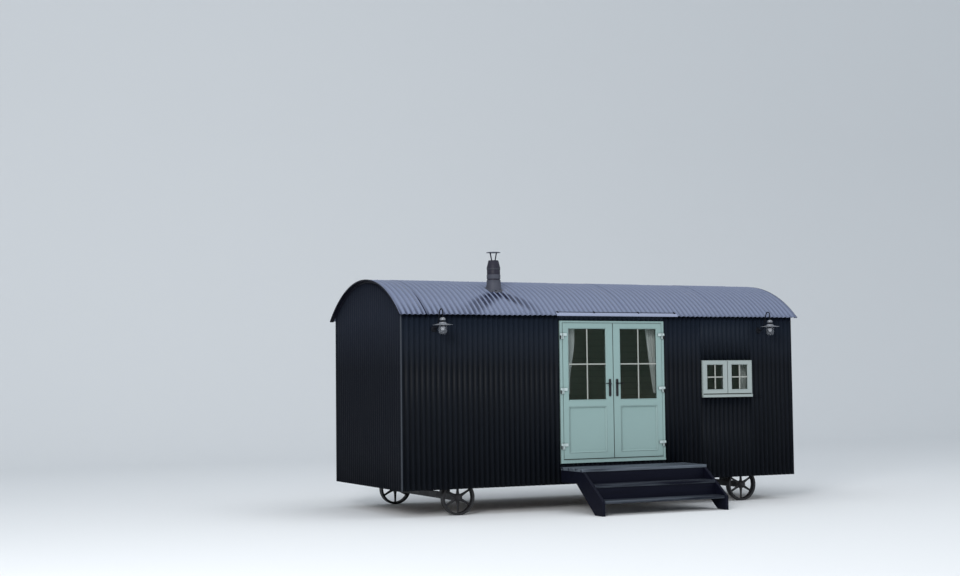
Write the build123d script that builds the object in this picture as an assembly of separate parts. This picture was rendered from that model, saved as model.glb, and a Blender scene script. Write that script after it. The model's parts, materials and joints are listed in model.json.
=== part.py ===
from build123d import *
import math
import os

# A shepherd's hut on cast wheels: an arched roof of corrugated sheet over timber-framed walls,
# a pair of part-glazed doors above three steps, a two-light window, two wall lamps and a flue.
# Millimetres. X runs along the front wall, Y runs into the hut, Z is up from the ground.

# Body
hut_length = 6200
hut_width = 2440
wall_thickness = 90
cladding_bottom = 350
floor_top = 630
floor_thickness = 140

cladding_depth = 18

# Arched roof
ridge_height = 3165
eave_height = 2645
eave_overhang = 95
gable_overhang = 50
roof_sheet_thickness = 18
roof_deck_thickness = 70
verge_cap_height = 34
verge_cap_thickness = 4
corner_width = 18
corner_gauge = 2
corner_drop = 60

# Drip strip on the eave above the doors
drip_past_left = 80
drip_past_right = 186
drip_run = 40
drip_thickness = 3
drip_lip = 14

# Doorway
door_off_middle = 64
door_width = 1660
door_below_eave = 75
frame_proud = 15
frame_depth = 90
jamb_width = 38
head_height = 26
threshold_height = 46
threshold_gap = 14
leaf_gap = 6
meeting_gap = 10
stop_gap = 5
stop_width = 18

# Door leaves
leaf_thickness = 44
leaf_proud = 20
meeting_stile = 113
outer_stile = 89
top_rail = 79
mid_rail = 100
bottom_rail = 85
lower_panel_height = 617
door_glass_thickness = 20
bead_depth = 10
panel_recess = 9
panel_bevel = 12

# Door furniture
pin_sides = 12
hinge_radius = 8
hinge_knuckle = 40
hinge_split = 0.3
hinge_stand_off = 14
hinge_flag = 62
hinge_plate = 40
lower_hinge_rise = 172
upper_hinge_drop = 178
plate_height_above_floor = 1020
plate_width = 34
plate_height = 240
plate_thickness = 8
plate_inset = 52
plate_corner = 7
lever_above_plate_middle = 60
lever_length = 95
lever_height = 16
lever_thickness = 12
neck_radius = 9
neck_length = 48
neck_gap = 0.5

# Window
window_from_right = 718
window_width = 849
window_height = 527
window_below_eave = 628
window_margin = 10
window_meeting_gap = 6
sash_stile = 71
sash_top_rail = 54
sash_bottom_rail = 60
sash_thickness = 50
sash_slot = 12
window_sill_height = 42
window_sill_projection = 12
sill_fall = 4
window_glass_thickness = 16
rebate_clearance = 4

# Lamps
lamp_from_left = 472
lamp_from_right = 580
lamp_reach = 285
neck_rise_reach = 135
lamp_plate_radius = 42
lamp_plate_thickness = 12
lamp_plate_below_eave = 195
swan_neck_above_eave = 60
swan_neck_radius = 8
neck_sides = 6
neck_bend_play = 0.5
lower_bend = 60
shade_below_eave = 145
shade_radius = 132
shade_rim_drop = 9
shade_crown_height = 26
shade_gauge = 4
lamp_stem_radius = 17
cap_base = 65
cap_height = 38
cap_radius = 38
globe_radius = 57
globe_length = 132
globe_foot = 26

# Flue
flue_from_left = 1594
flue_from_front = 500
flue_radius = 88
collar_radius = 102
collar_height = 128
collar_sink = 75
brim_radius = 94
brim_height = 258
shoulder_height = 282
mouth_height = 387
mouth_radius = 68
leg_height = 105
leg_width = 8
leg_foot_radius = 45
leg_head_radius = 80
leg_count = 4
rain_cap_radius = 100
rain_cap_thickness = 14

# Chassis and wheels
rail_inset = 550
rail_width = 80
rail_depth = 140
rail_end_gap = 20
axle_width = 80
axle_depth = 80
axle_block = 120
wheel_from_end = 850
wheel_inset = 90
wheel_radius = 230
wheel_width = 90
rim_thickness = 30
hub_radius = 58
hub_stand_out = 20
spoke_count = 6
spoke_width = 44
spoke_end_width = 28
spoke_root = 46
spoke_depth = 30

# Steps
step_reach = 1110
step_past_door = 282
landing_top = 585
landing_depth = 600
board_thickness = 40
tread_depth = 260
tread_going = 220
nosing = 15
riser_thickness = 20
stringer_depth = 160
stringer_toe = 200
stringer_nose_height = 190
stringer_bend = 180

# Curtains and their rods
rod_radius = 9
rod_past_opening = 90
rod_bracket = 16
rod_hang = 0.3
curtain_gap = 45
curtain_thickness = 50
door_rod_drop = 70
left_curtain_reach = 312
left_curtain_tie = 226
right_curtain_reach = 174
right_curtain_tie = 44
door_curtain_length = 930
door_curtain_inset = 20
window_rod_drop = 12
window_curtain_reach = 145
window_curtain_tie = 138
window_curtain_length = 390
window_curtain_inset = -48

# The origin is on the ground under the middle of the whole outline
left_face = -hut_length / 2
right_face = hut_length / 2
front_face = (step_reach - hut_width - eave_overhang) / 2
rear_face = front_face + hut_width
middle = front_face + hut_width / 2

# The arc of the roof, from its chord at the eaves and its rise
half_chord = hut_width / 2 + eave_overhang
roof_rise = ridge_height - eave_height
roof_radius = (half_chord**2 + roof_rise**2) / (2 * roof_rise)
roof_axis = ridge_height - roof_radius
sheet_underside = roof_radius - roof_sheet_thickness
ceiling_radius = sheet_underside - roof_deck_thickness

# Wall framing lines, inside the cladding
core_left = left_face + cladding_depth
core_right = right_face - cladding_depth
core_front = front_face + cladding_depth
core_rear = rear_face - cladding_depth
room_left = core_left + wall_thickness
room_right = core_right - wall_thickness
room_front = core_front + wall_thickness
room_rear = core_rear - wall_thickness

# Doorway and leaves
door_left = door_off_middle - door_width / 2
door_right = door_left + door_width
door_top = eave_height - door_below_eave
leaf_face = front_face - leaf_proud
leaf_bottom = floor_top + threshold_height + threshold_gap
leaf_top = door_top - head_height - leaf_gap
leaf_width = (door_width - 2 * jamb_width - 2 * leaf_gap - meeting_gap) / 2
stop_face = leaf_face + leaf_thickness + stop_gap
plate_middle = floor_top + plate_height_above_floor

# Window
window_right = right_face - window_from_right
window_left = window_right - window_width
window_top = eave_height - window_below_eave
window_base = window_top - window_height
sash_bottom = window_base + window_sill_height + sash_slot
sash_top = window_top - window_margin
sash_width = (window_width - 2 * window_margin - window_meeting_gap) / 2

# Curtain rods
door_rod_height = door_top - door_rod_drop
window_rod_height = window_top - window_rod_drop

# Lamps, wheels and steps
lamp_places = (left_face + lamp_from_left, right_face - lamp_from_right)
lamp_plate_height = eave_height - lamp_plate_below_eave
swan_neck_top = eave_height + swan_neck_above_eave
shade_height = eave_height - shade_below_eave
wheel_places = (left_face + wheel_from_end, right_face - wheel_from_end)
rail_places = (front_face + rail_inset, rear_face - rail_inset)
rail_top = floor_top - floor_thickness
rail_bottom = rail_top - rail_depth
step_left = door_left
step_right = door_right + step_past_door
tread_rise = landing_top / 3

# Flue, measured up from the roof where it stands
flue_x = left_face + flue_from_left
flue_y = front_face + flue_from_front
flue_base = roof_axis + math.sqrt(roof_radius**2 - (flue_y - middle) ** 2)

UP = (Align.CENTER, Align.CENTER, Align.MIN)


def block(x0, x1, y0, y1, z0, z1):
    """A plain box between two corners."""
    size = Box(x1 - x0, y1 - y0, z1 - z0)
    return Pos((x0 + x1) / 2, (y0 + y1) / 2, (z0 + z1) / 2) * size


def pin(radius, length):
    """A thin upright rod about its middle, with a few flat sides."""
    return extrude(RegularPolygon(radius, pin_sides), amount=length / 2, both=True)


def turned(profile, x, y, z):
    """A round piece, from its outline as radius and height, standing at a place."""
    face = make_face(Polyline([(radius, 0, height) for radius, height in profile], close=True))
    return Pos(x, y, z) * revolve(face, axis=Axis.Z)


def roof_cylinder(radius, x0, x1):
    """A lying cylinder on the axis of the roof's arc."""
    rod = Rot(0, 90, 0) * Cylinder(radius, x1 - x0)
    return Pos((x0 + x1) / 2, middle, roof_axis) * rod


def under_arc(solid, radius):
    """The part of a solid that lies under an arc of the roof."""
    x0 = left_face - gable_overhang - 1
    x1 = right_face + gable_overhang + 1
    below = block(x0, x1, middle - radius, middle + radius, roof_axis - ridge_height, roof_axis)
    return solid & (roof_cylinder(radius, x0, x1) + below)


def arc_shell(inner, outer, x0, x1, half_width):
    """A slice of the arch between two radii, cut to a half width."""
    ring = roof_cylinder(outer, x0, x1) - roof_cylinder(inner, x0 - 1, x1 + 1)
    return ring & block(x0, x1, middle - half_width, middle + half_width, roof_axis, roof_axis + outer + 1)


def chassis():
    """Two lengthwise rails on blocks over an axle beam at each pair of wheels."""
    body = Part()
    for rail_y in rail_places:
        body += block(core_left + rail_end_gap, core_right - rail_end_gap,
                      rail_y - rail_width / 2, rail_y + rail_width / 2, rail_bottom, rail_top)
    beam_half = hut_width / 2 - wheel_inset - wheel_width
    beam_top = wheel_radius + axle_depth / 2
    for wheel_x in wheel_places:
        body += block(wheel_x - axle_width / 2, wheel_x + axle_width / 2,
                      middle - beam_half, middle + beam_half, beam_top - axle_depth, beam_top)
        for rail_y in rail_places:
            body += block(wheel_x - axle_block / 2, wheel_x + axle_block / 2,
                          rail_y - rail_width / 2, rail_y + rail_width / 2, beam_top, rail_bottom)
    return body


def spoke():
    """A flat cast spoke that narrows from the hub to the rim."""
    end = wheel_radius - rim_thickness / 2
    outline = Polyline((spoke_root, -spoke_width / 2), (end, -spoke_end_width / 2),
                       (end, spoke_end_width / 2), (spoke_root, spoke_width / 2), close=True)
    return extrude(make_face(outline), amount=spoke_depth / 2, both=True)


def wheel(x, y, outward):
    """A cast spoked wheel on the ground, its hub cap facing outward."""
    half = wheel_width / 2
    inner = wheel_radius - rim_thickness
    rim = turned([(inner, -half), (wheel_radius, -half), (wheel_radius, half), (inner, half)], 0, 0, 0)
    body = rim + Pos(0, 0, hub_stand_out / 2) * Cylinder(hub_radius, wheel_width + hub_stand_out)
    for count in range(spoke_count):
        body += Rot(0, 0, 360 / spoke_count * count) * spoke()
    return Pos(x, y, wheel_radius) * Rot(-90 * outward, 0, 0) * body


def wheel_pair(x):
    """The front and rear wheels of one axle."""
    near = front_face + wheel_inset + wheel_width / 2
    far = rear_face - wheel_inset - wheel_width / 2
    return Compound(children=[wheel(x, near, -1), wheel(x, far, 1)])


def floor_deck():
    """Joists and boards as one slab that carries the walls."""
    return block(core_left, core_right, core_front, core_rear, rail_top, floor_top)


def wall(x0, x1, y0, y1, z0=floor_top):
    """A stretch of framed wall from a height up to the ceiling's arc."""
    return under_arc(block(x0, x1, y0, y1, z0, ridge_height), ceiling_radius)


def window_hole():
    """The window's opening, as deep as cladding and wall."""
    return block(window_left, window_right, front_face - 1, room_front + 1, window_base, window_top)


def front_wall_right():
    """The wall from the doors to the right end, cut through at the window."""
    return wall(door_right, room_right, core_front, room_front) - window_hole()


def cladding(x0, x1, y0, y1, z0=cladding_bottom):
    """A stretch of cladding from a height up to the underside of the roof sheet."""
    return under_arc(block(x0, x1, y0, y1, z0, ridge_height), sheet_underside)


def front_cladding_at_door():
    """The cladding over and under the doorway."""
    over = cladding(door_left, door_right, front_face, core_front, door_top)
    under = block(door_left, door_right, front_face, core_front, cladding_bottom, floor_top)
    return Compound(children=[over, under])


def front_cladding_right():
    """The cladding from the doors to the right end, cut through at the window."""
    return cladding(door_right, right_face, front_face, core_front) - window_hole()


def roof_deck():
    """The curved ribs, boarding and lining that rest on the walls."""
    return arc_shell(ceiling_radius, sheet_underside, core_left, core_right, hut_width / 2 - cladding_depth)


def roof_sheet():
    """The arched roof sheet with its overhangs."""
    return arc_shell(sheet_underside, roof_radius, left_face - gable_overhang,
                     right_face + gable_overhang, half_chord)


def verge_trims():
    """A cap over each cut end of the roof sheet."""
    inner = roof_radius - verge_cap_height
    outer_ends = (left_face - gable_overhang - verge_cap_thickness, right_face + gable_overhang)
    return Compound(children=[arc_shell(inner, roof_radius, x0, x0 + verge_cap_thickness, half_chord)
                              for x0 in outer_ends])


def corner_trims():
    """A folded angle up each corner of the cladding."""
    top = eave_height - corner_drop
    outline = Polyline((-corner_gauge, -corner_gauge), (corner_width, -corner_gauge), (corner_width, 0),
                       (0, 0), (0, corner_width), (-corner_gauge, corner_width), close=True)
    angle = extrude(make_face(outline), amount=top - cladding_bottom)
    corners = ((left_face, front_face, 0), (right_face, front_face, 90),
               (right_face, rear_face, 180), (left_face, rear_face, 270))
    return Compound(children=[Pos(x, y, cladding_bottom) * Rot(0, 0, turn) * angle
                              for x, y, turn in corners])


def eave_flashing():
    """The drip strip that lies on the roof's edge above the doors, with a lip down its front."""
    x0 = door_left - drip_past_left
    x1 = door_right + drip_past_right
    strip = arc_shell(roof_radius, roof_radius + drip_thickness, x0, x1, half_chord + drip_thickness)
    edge = middle - half_chord
    reach = block(x0, x1, edge - drip_thickness, edge + drip_run, eave_height, ridge_height)
    lip = block(x0, x1, edge - drip_thickness, edge, eave_height - drip_lip, eave_height + drip_thickness)
    return (strip & reach) + lip


def door_frame():
    """Two jambs and a head around the doorway, with a stop behind the leaves."""
    front = front_face - frame_proud
    back = front + frame_depth
    narrow = jamb_width + stop_width
    outer = block(door_left, door_right, front, back, floor_top, door_top)
    rebate = block(door_left + jamb_width, door_right - jamb_width, front - 1, stop_face,
                   floor_top - 1, door_top - head_height)
    passage = block(door_left + narrow, door_right - narrow, front - 1, back + 1,
                    floor_top - 1, door_top - head_height - stop_width)
    return outer - rebate - passage


def door_threshold():
    """The sill of the doorway between the stops."""
    narrow = jamb_width + stop_width
    front = front_face - frame_proud
    return block(door_left + narrow, door_right - narrow, front, front + frame_depth,
                 floor_top, floor_top + threshold_height)


def leaf_edges(side):
    """The left and right edge of a leaf, for side -1 left or 1 right."""
    if side < 0:
        hinge_edge = door_left + jamb_width + leaf_gap
        return hinge_edge, hinge_edge + leaf_width
    hinge_edge = door_right - jamb_width - leaf_gap
    return hinge_edge - leaf_width, hinge_edge


def leaf_glass_limits(side):
    """The clear opening for the glass, as left, right, bottom and top."""
    x0, x1 = leaf_edges(side)
    bottom = leaf_bottom + bottom_rail + lower_panel_height + mid_rail
    left_stile, right_stile = (outer_stile, meeting_stile) if side < 0 else (meeting_stile, outer_stile)
    return x0 + left_stile, x1 - right_stile, bottom, leaf_top - top_rail


def bevelled_recess(x0, x1, z0, z1, face, depth, inward):
    """A recess with sloping sides, cut into an upright face; inward is 1 for +Y and -1 for -Y."""
    mouth = Plane(origin=((x0 + x1) / 2, face, (z0 + z1) / 2), x_dir=(1, 0, 0), z_dir=(0, inward, 0))
    floor = mouth.offset(depth)
    width = x1 - x0
    height = z1 - z0
    return loft([mouth * Rectangle(width, height),
                 floor * Rectangle(width - 2 * panel_bevel, height - 2 * panel_bevel)])


def door_leaf(side):
    """Stiles, rails and the sunk lower panel of one leaf."""
    x0, x1 = leaf_edges(side)
    glass_x0, glass_x1, glass_bottom, glass_top = leaf_glass_limits(side)
    back = leaf_face + leaf_thickness
    panel_top = glass_bottom - mid_rail
    panel_bottom = leaf_bottom + bottom_rail
    body = block(x0, x1, leaf_face, back, leaf_bottom, leaf_top)
    body -= block(glass_x0, glass_x1, leaf_face - 1, back + 1, glass_bottom, glass_top)
    body -= bevelled_recess(glass_x0, glass_x1, panel_bottom, panel_top, leaf_face, panel_recess, 1)
    body -= bevelled_recess(glass_x0, glass_x1, panel_bottom, panel_top, back, panel_recess, -1)
    return body


def door_glass(side):
    """The glass of one leaf."""
    x0, x1, z0, z1 = leaf_glass_limits(side)
    y0 = leaf_face + bead_depth
    return block(x0, x1, y0, y0 + door_glass_thickness, z0, z1)


def hinge_axis(side):
    """The x and y of a leaf's hinge line."""
    x0, x1 = leaf_edges(side)
    edge = x0 if side < 0 else x1
    return edge + side * leaf_gap / 2, leaf_face - hinge_stand_off


def hinge_half(side, height, reach, back):
    """One knuckle on the hinge line and the flag that joins it to a face behind."""
    axis_x, axis_y = hinge_axis(side)
    x0, x1 = sorted((axis_x, axis_x + reach))
    knuckle = Pos(axis_x, axis_y, height) * pin(hinge_radius, hinge_knuckle)
    return knuckle + block(x0, x1, axis_y, back, height - hinge_knuckle / 2, height + hinge_knuckle / 2)


def hinge_heights():
    """The height of each hinge's split above the ground."""
    return leaf_bottom + lower_hinge_rise, (leaf_bottom + leaf_top) / 2, leaf_top - upper_hinge_drop


def door_hinges(side):
    """The upper half of each hinge, on the face of the leaf."""
    lift = (hinge_knuckle + hinge_split) / 2
    return Compound(children=[hinge_half(side, height + lift, -side * hinge_flag, leaf_face)
                              for height in hinge_heights()])


def hinge_brackets():
    """The lower half of each hinge, on the face of the jamb."""
    drop = (hinge_knuckle + hinge_split) / 2
    jamb_face = front_face - frame_proud
    return Compound(children=[hinge_half(side, height - drop, side * hinge_plate, jamb_face)
                              for side in (-1, 1) for height in hinge_heights()])


def plate_x(side):
    """The middle of a leaf's handle plate."""
    x0, x1 = leaf_edges(side)
    return x1 - plate_inset if side < 0 else x0 + plate_inset


def handle_plate(side):
    """The long plate behind a lever, with rounded corners."""
    x = plate_x(side)
    plate = block(x - plate_width / 2, x + plate_width / 2, leaf_face - plate_thickness, leaf_face,
                  plate_middle - plate_height / 2, plate_middle + plate_height / 2)
    return chamfer(plate.edges().filter_by(Axis.Y), plate_corner)


def lever(side):
    """A round neck and a flat lever that points towards the hinges."""
    x = plate_x(side)
    height = plate_middle + lever_above_plate_middle
    neck_start = leaf_face - plate_thickness - neck_gap
    neck = Pos(x, neck_start - neck_length / 2, height) * Rot(90, 0, 0) * pin(neck_radius, neck_length)
    x0, x1 = sorted((x, x + side * lever_length))
    grip = block(x0, x1, neck_start - neck_length, neck_start - neck_length + lever_thickness,
                 height - lever_height / 2, height + lever_height / 2)
    return neck + grip


def sash_edges():
    """The left and right edges of each sash."""
    left = window_left + window_margin
    right = window_right - window_margin
    return ((left, left + sash_width), (right - sash_width, right))


def window_frame():
    """The fixed frame behind the sashes, whose sill stands forward below them."""
    back = front_face - frame_proud + frame_depth
    sash_back = front_face - frame_proud + sash_thickness
    body = block(window_left, window_right, front_face - frame_proud, back, window_base, window_top)
    body -= block(window_left + window_margin, window_right - window_margin, front_face - frame_proud - 1,
                  sash_back, window_base + window_sill_height, window_top - window_margin)
    for x0, x1 in sash_edges():
        body -= block(x0 + sash_stile, x1 - sash_stile, sash_back - 1, back + 1,
                      sash_bottom + sash_bottom_rail, sash_top - sash_top_rail)
    return body


def window_casements():
    """Two sashes that meet in the middle, shut in the frame."""
    front = front_face - frame_proud - rebate_clearance
    back = front_face - frame_proud + sash_thickness
    pieces = []
    for x0, x1 in sash_edges():
        sash = block(x0, x1, front, back, sash_bottom, sash_top)
        pieces.append(sash - block(x0 + sash_stile, x1 - sash_stile, front - 1, back + 1,
                                   sash_bottom + sash_bottom_rail, sash_top - sash_top_rail))
    return Compound(children=pieces)


def window_glass():
    """The glass of the two sashes."""
    y0 = front_face - frame_proud + bead_depth
    return Compound(children=[block(x0 + sash_stile, x1 - sash_stile, y0, y0 + window_glass_thickness,
                                    sash_bottom + sash_bottom_rail, sash_top - sash_top_rail)
                              for x0, x1 in sash_edges()])


def window_sill():
    """The sloping sill board in front of the frame's foot."""
    y0 = front_face - frame_proud - window_sill_projection
    y1 = front_face - frame_proud
    top = window_base + window_sill_height
    outline = Polyline((window_left, y0, window_base), (window_left, y1, window_base), (window_left, y1, top),
                       (window_left, y0, top - sill_fall), close=True)
    return extrude(make_face(outline), amount=window_width, dir=(1, 0, 0))


def lamp_bracket(x):
    """A wall plate and a swan neck that rises past the eave and comes down to the lamp's cap."""
    plate_y = front_face - lamp_plate_thickness / 2
    plate = Pos(x, plate_y, lamp_plate_height) * Rot(90, 0, 0) \
        * Cylinder(lamp_plate_radius, lamp_plate_thickness)
    rise_y = front_face - neck_rise_reach
    lamp_y = front_face - lamp_reach
    hoop = (rise_y - lamp_y) / 2 - neck_bend_play
    foot = (x, plate_y, lamp_plate_height)
    cap_top = shade_height + cap_base + cap_height
    route = FilletPolyline(foot, (x, rise_y, lamp_plate_height), (x, rise_y, swan_neck_top),
                           (x, lamp_y, swan_neck_top), (x, lamp_y, cap_top), radius=[lower_bend, hoop, hoop])
    start = Plane(origin=route @ 0, x_dir=(1, 0, 0), z_dir=route % 0)
    return plate + sweep(start * RegularPolygon(swan_neck_radius, neck_sides), path=route)


def lamp_shade(x):
    """A shallow cone of a shade, a stem and a cap above it."""
    cap_top = cap_base + cap_height
    outline = [(0, 0), (globe_radius, 0), (shade_radius, -shade_rim_drop),
               (shade_radius, shade_gauge - shade_rim_drop),
               (lamp_stem_radius, shade_crown_height), (lamp_stem_radius, cap_base), (cap_radius, cap_base),
               (cap_radius, cap_top), (0, cap_top)]
    return turned(outline, x, front_face - lamp_reach, shade_height)


def lamp_globe(x):
    """The glass jar under the shade, with a sloping foot."""
    outline = [(0, -globe_length), (globe_radius - globe_foot, -globe_length),
               (globe_radius, globe_foot - globe_length), (globe_radius, 0), (0, 0)]
    return turned(outline, x, front_face - lamp_reach, shade_height)


def flue_flashing():
    """A collar whose foot follows the arc of the roof."""
    height = collar_sink + collar_height
    collar = Pos(flue_x, flue_y, flue_base - collar_sink) * Cylinder(collar_radius, height, align=UP)
    return collar - roof_cylinder(roof_radius, left_face, right_face)


def flue_pipe():
    """The pipe that stands on its collar, with a brim and a cone that narrows to its mouth."""
    outline = [(0, collar_height), (flue_radius, collar_height), (flue_radius, brim_height),
               (brim_radius, brim_height), (brim_radius, shoulder_height), (mouth_radius, mouth_height),
               (0, mouth_height)]
    return turned(outline, flue_x, flue_y, flue_base)


def cowl_leg():
    """A thin square leg that leans out from the mouth to the rain cap."""
    foot = Plane(origin=(leg_foot_radius, 0, mouth_height)) * Rectangle(leg_width, leg_width)
    head = Plane(origin=(leg_head_radius, 0, mouth_height + leg_height)) * Rectangle(leg_width, leg_width)
    return loft([foot, head])


def flue_cowl():
    """A flat rain cap on thin leaning legs."""
    body = Pos(0, 0, mouth_height + leg_height) * Cylinder(rain_cap_radius, rain_cap_thickness, align=UP)
    for count in range(leg_count):
        body += Rot(0, 0, 360 / leg_count * (count + 0.5)) * cowl_leg()
    return Pos(flue_x, flue_y, flue_base) * body


def stringer(x0):
    """A cut board that carries the landing and the treads down to the ground."""
    top = landing_top - board_thickness
    nose = front_face - landing_depth
    foot = front_face - step_reach
    under = top - stringer_depth
    outline = Polyline((x0, front_face, top), (x0, nose, top), (x0, foot, stringer_nose_height),
                       (x0, foot, 0), (x0, foot + stringer_toe, 0), (x0, nose + stringer_bend, under),
                       (x0, front_face, under), close=True)
    return extrude(make_face(outline), amount=board_thickness, dir=(1, 0, 0))


def stringers():
    """The left and right boards of the steps."""
    return Compound(children=[stringer(step_left), stringer(step_right - board_thickness)])


def landing():
    """The deep top step below the doors."""
    return block(step_left, step_right, front_face - landing_depth, front_face,
                 landing_top - board_thickness, landing_top)


def tread(number):
    """A lower tread between the boards, numbered 1 then 2 down from the landing."""
    top = landing_top - number * tread_rise
    nose = front_face - landing_depth - tread_depth - (number - 1) * tread_going
    return block(step_left + board_thickness, step_right - board_thickness,
                 nose, nose + tread_depth, top - board_thickness, top)


def risers():
    """The closing boards under the landing and under the middle tread."""
    pieces = []
    for number, reach in ((0, landing_depth), (1, landing_depth + tread_depth)):
        top = landing_top - number * tread_rise - board_thickness
        bottom = landing_top - (number + 1) * tread_rise
        face = front_face - reach + nosing
        pieces.append(block(step_left + board_thickness, step_right - board_thickness,
                            face, face + riser_thickness, bottom, top))
    return Compound(children=pieces)


def curtain(x_outer, reach, tie_reach, top, length):
    """A drawn-back curtain: wide at its rod, narrow at its tie."""
    y = room_front + curtain_gap
    outline = Polyline((x_outer, y, top), (x_outer + reach, y, top), (x_outer + tie_reach, y, top - length),
                       (x_outer, y, top - length), close=True)
    return extrude(make_face(outline), amount=curtain_thickness, dir=(0, 1, 0))


def door_curtains():
    """A curtain at each outer side of the doors."""
    top = door_rod_height - rod_radius - rod_hang
    left = curtain(door_left + door_curtain_inset, left_curtain_reach, left_curtain_tie,
                   top, door_curtain_length)
    right = curtain(door_right - door_curtain_inset, -right_curtain_reach, -right_curtain_tie,
                    top, door_curtain_length)
    return Compound(children=[left, right])


def window_curtain():
    """The curtain behind the right-hand sash, which hangs a little past the side of the window."""
    return curtain(window_right - window_curtain_inset, -window_curtain_reach, -window_curtain_tie,
                   window_rod_height - rod_radius - rod_hang, window_curtain_length)


def curtain_rod(x0, x1, height):
    """A rod on two brackets from the inner face of the wall."""
    y = room_front + curtain_gap + curtain_thickness / 2
    body = Pos((x0 + x1) / 2, y, height) * Rot(0, 90, 0) * pin(rod_radius, x1 - x0)
    half = rod_bracket / 2
    for x in (x0 + rod_bracket, x1 - rod_bracket):
        body += block(x - half, x + half, room_front, y, height - half, height + half)
    return body


def curtain_rods():
    """A rod over the doors and another over the window."""
    return Compound(children=[
        curtain_rod(door_left - rod_past_opening, door_right + rod_past_opening, door_rod_height),
        curtain_rod(window_left - rod_past_opening, window_right + rod_past_opening, window_rod_height)])


def both_lamps(make):
    """The same piece at each lamp's place."""
    return Compound(children=[make(x) for x in lamp_places])


nodes = {
    "chassis": chassis(),
    "wheels_left": wheel_pair(wheel_places[0]),
    "wheels_right": wheel_pair(wheel_places[1]),
    "floor_deck": floor_deck(),
    "front_wall_left": wall(room_left, door_left, core_front, room_front),
    "front_wall_over_door": wall(door_left, door_right, core_front, room_front, door_top),
    "front_wall_right": front_wall_right(),
    "rear_wall": wall(room_left, room_right, room_rear, core_rear),
    "left_end_wall": wall(core_left, room_left, core_front, core_rear),
    "right_end_wall": wall(room_right, core_right, core_front, core_rear),
    "front_cladding_left": cladding(left_face, door_left, front_face, core_front),
    "front_cladding_at_door": front_cladding_at_door(),
    "front_cladding_right": front_cladding_right(),
    "rear_cladding": cladding(left_face, right_face, core_rear, rear_face),
    "left_end_cladding": cladding(left_face, core_left, core_front, core_rear),
    "right_end_cladding": cladding(core_right, right_face, core_front, core_rear),
    "roof_deck": roof_deck(),
    "roof_sheet": roof_sheet(),
    "verge_trims": verge_trims(),
    "corner_trims": corner_trims(),
    "eave_flashing": eave_flashing(),
    "door_frame": door_frame(),
    "door_threshold": door_threshold(),
    "hinge_brackets": hinge_brackets(),
    "window_frame": window_frame(),
    "window_casements": window_casements(),
    "window_glass": window_glass(),
    "window_sill": window_sill(),
    "lamp_brackets": both_lamps(lamp_bracket),
    "lamp_shades": both_lamps(lamp_shade),
    "lamp_globes": both_lamps(lamp_globe),
    "flue_flashing": flue_flashing(),
    "flue_pipe": flue_pipe(),
    "flue_cowl": flue_cowl(),
    "step_stringers": stringers(),
    "step_landing": landing(),
    "step_tread_middle": tread(1),
    "step_tread_lower": tread(2),
    "step_risers": risers(),
    "door_curtains": door_curtains(),
    "window_curtain": window_curtain(),
    "curtain_rods": curtain_rods(),
}

for name, side in (("left", -1), ("right", 1)):
    nodes[f"{name}_door_leaf"] = door_leaf(side)
    nodes[f"{name}_door_glass"] = door_glass(side)
    nodes[f"{name}_door_hinges"] = door_hinges(side)
    nodes[f"{name}_door_plate"] = handle_plate(side)
    nodes[f"{name}_door_lever"] = lever(side)

os.makedirs("parts", exist_ok=True)
for name, shape in nodes.items():
    export_step(shape, f"parts/{name}.step")

for side in (-1, 1):
    print("hinge line", side, hinge_axis(side))
    print("lever line", side, plate_x(side), leaf_face - plate_thickness)
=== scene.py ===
import json
import math

import bmesh
import bpy
import numpy as np
from mathutils import Matrix, Vector


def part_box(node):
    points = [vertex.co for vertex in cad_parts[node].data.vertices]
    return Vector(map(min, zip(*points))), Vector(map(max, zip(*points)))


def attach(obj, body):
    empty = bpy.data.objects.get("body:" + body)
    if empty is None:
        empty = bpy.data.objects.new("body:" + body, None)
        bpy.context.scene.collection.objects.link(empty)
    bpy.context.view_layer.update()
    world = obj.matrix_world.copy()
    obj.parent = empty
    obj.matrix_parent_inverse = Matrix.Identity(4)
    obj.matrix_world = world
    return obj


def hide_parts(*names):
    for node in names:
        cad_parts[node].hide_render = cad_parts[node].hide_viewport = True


bl_info = {
    "name": "Shepherds Hut",
    "version": (1, 0, 0),
    "blender": (4, 5, 0),
    "location": "3D View > Sidebar > Hut",
    "description": "Builds the visible pieces of a shepherd's hut over its solid model",
    "category": "Add Mesh",
}

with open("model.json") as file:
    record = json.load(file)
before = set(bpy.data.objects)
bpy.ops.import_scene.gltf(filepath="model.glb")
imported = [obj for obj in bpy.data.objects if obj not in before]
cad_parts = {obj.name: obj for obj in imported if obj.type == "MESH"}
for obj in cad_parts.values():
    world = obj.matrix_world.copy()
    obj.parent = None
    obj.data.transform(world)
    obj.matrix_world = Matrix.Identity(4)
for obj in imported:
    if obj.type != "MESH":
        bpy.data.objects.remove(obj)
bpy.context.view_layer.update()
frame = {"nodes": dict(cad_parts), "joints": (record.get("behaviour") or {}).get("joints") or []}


# Places read from the solid model, in metres

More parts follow.
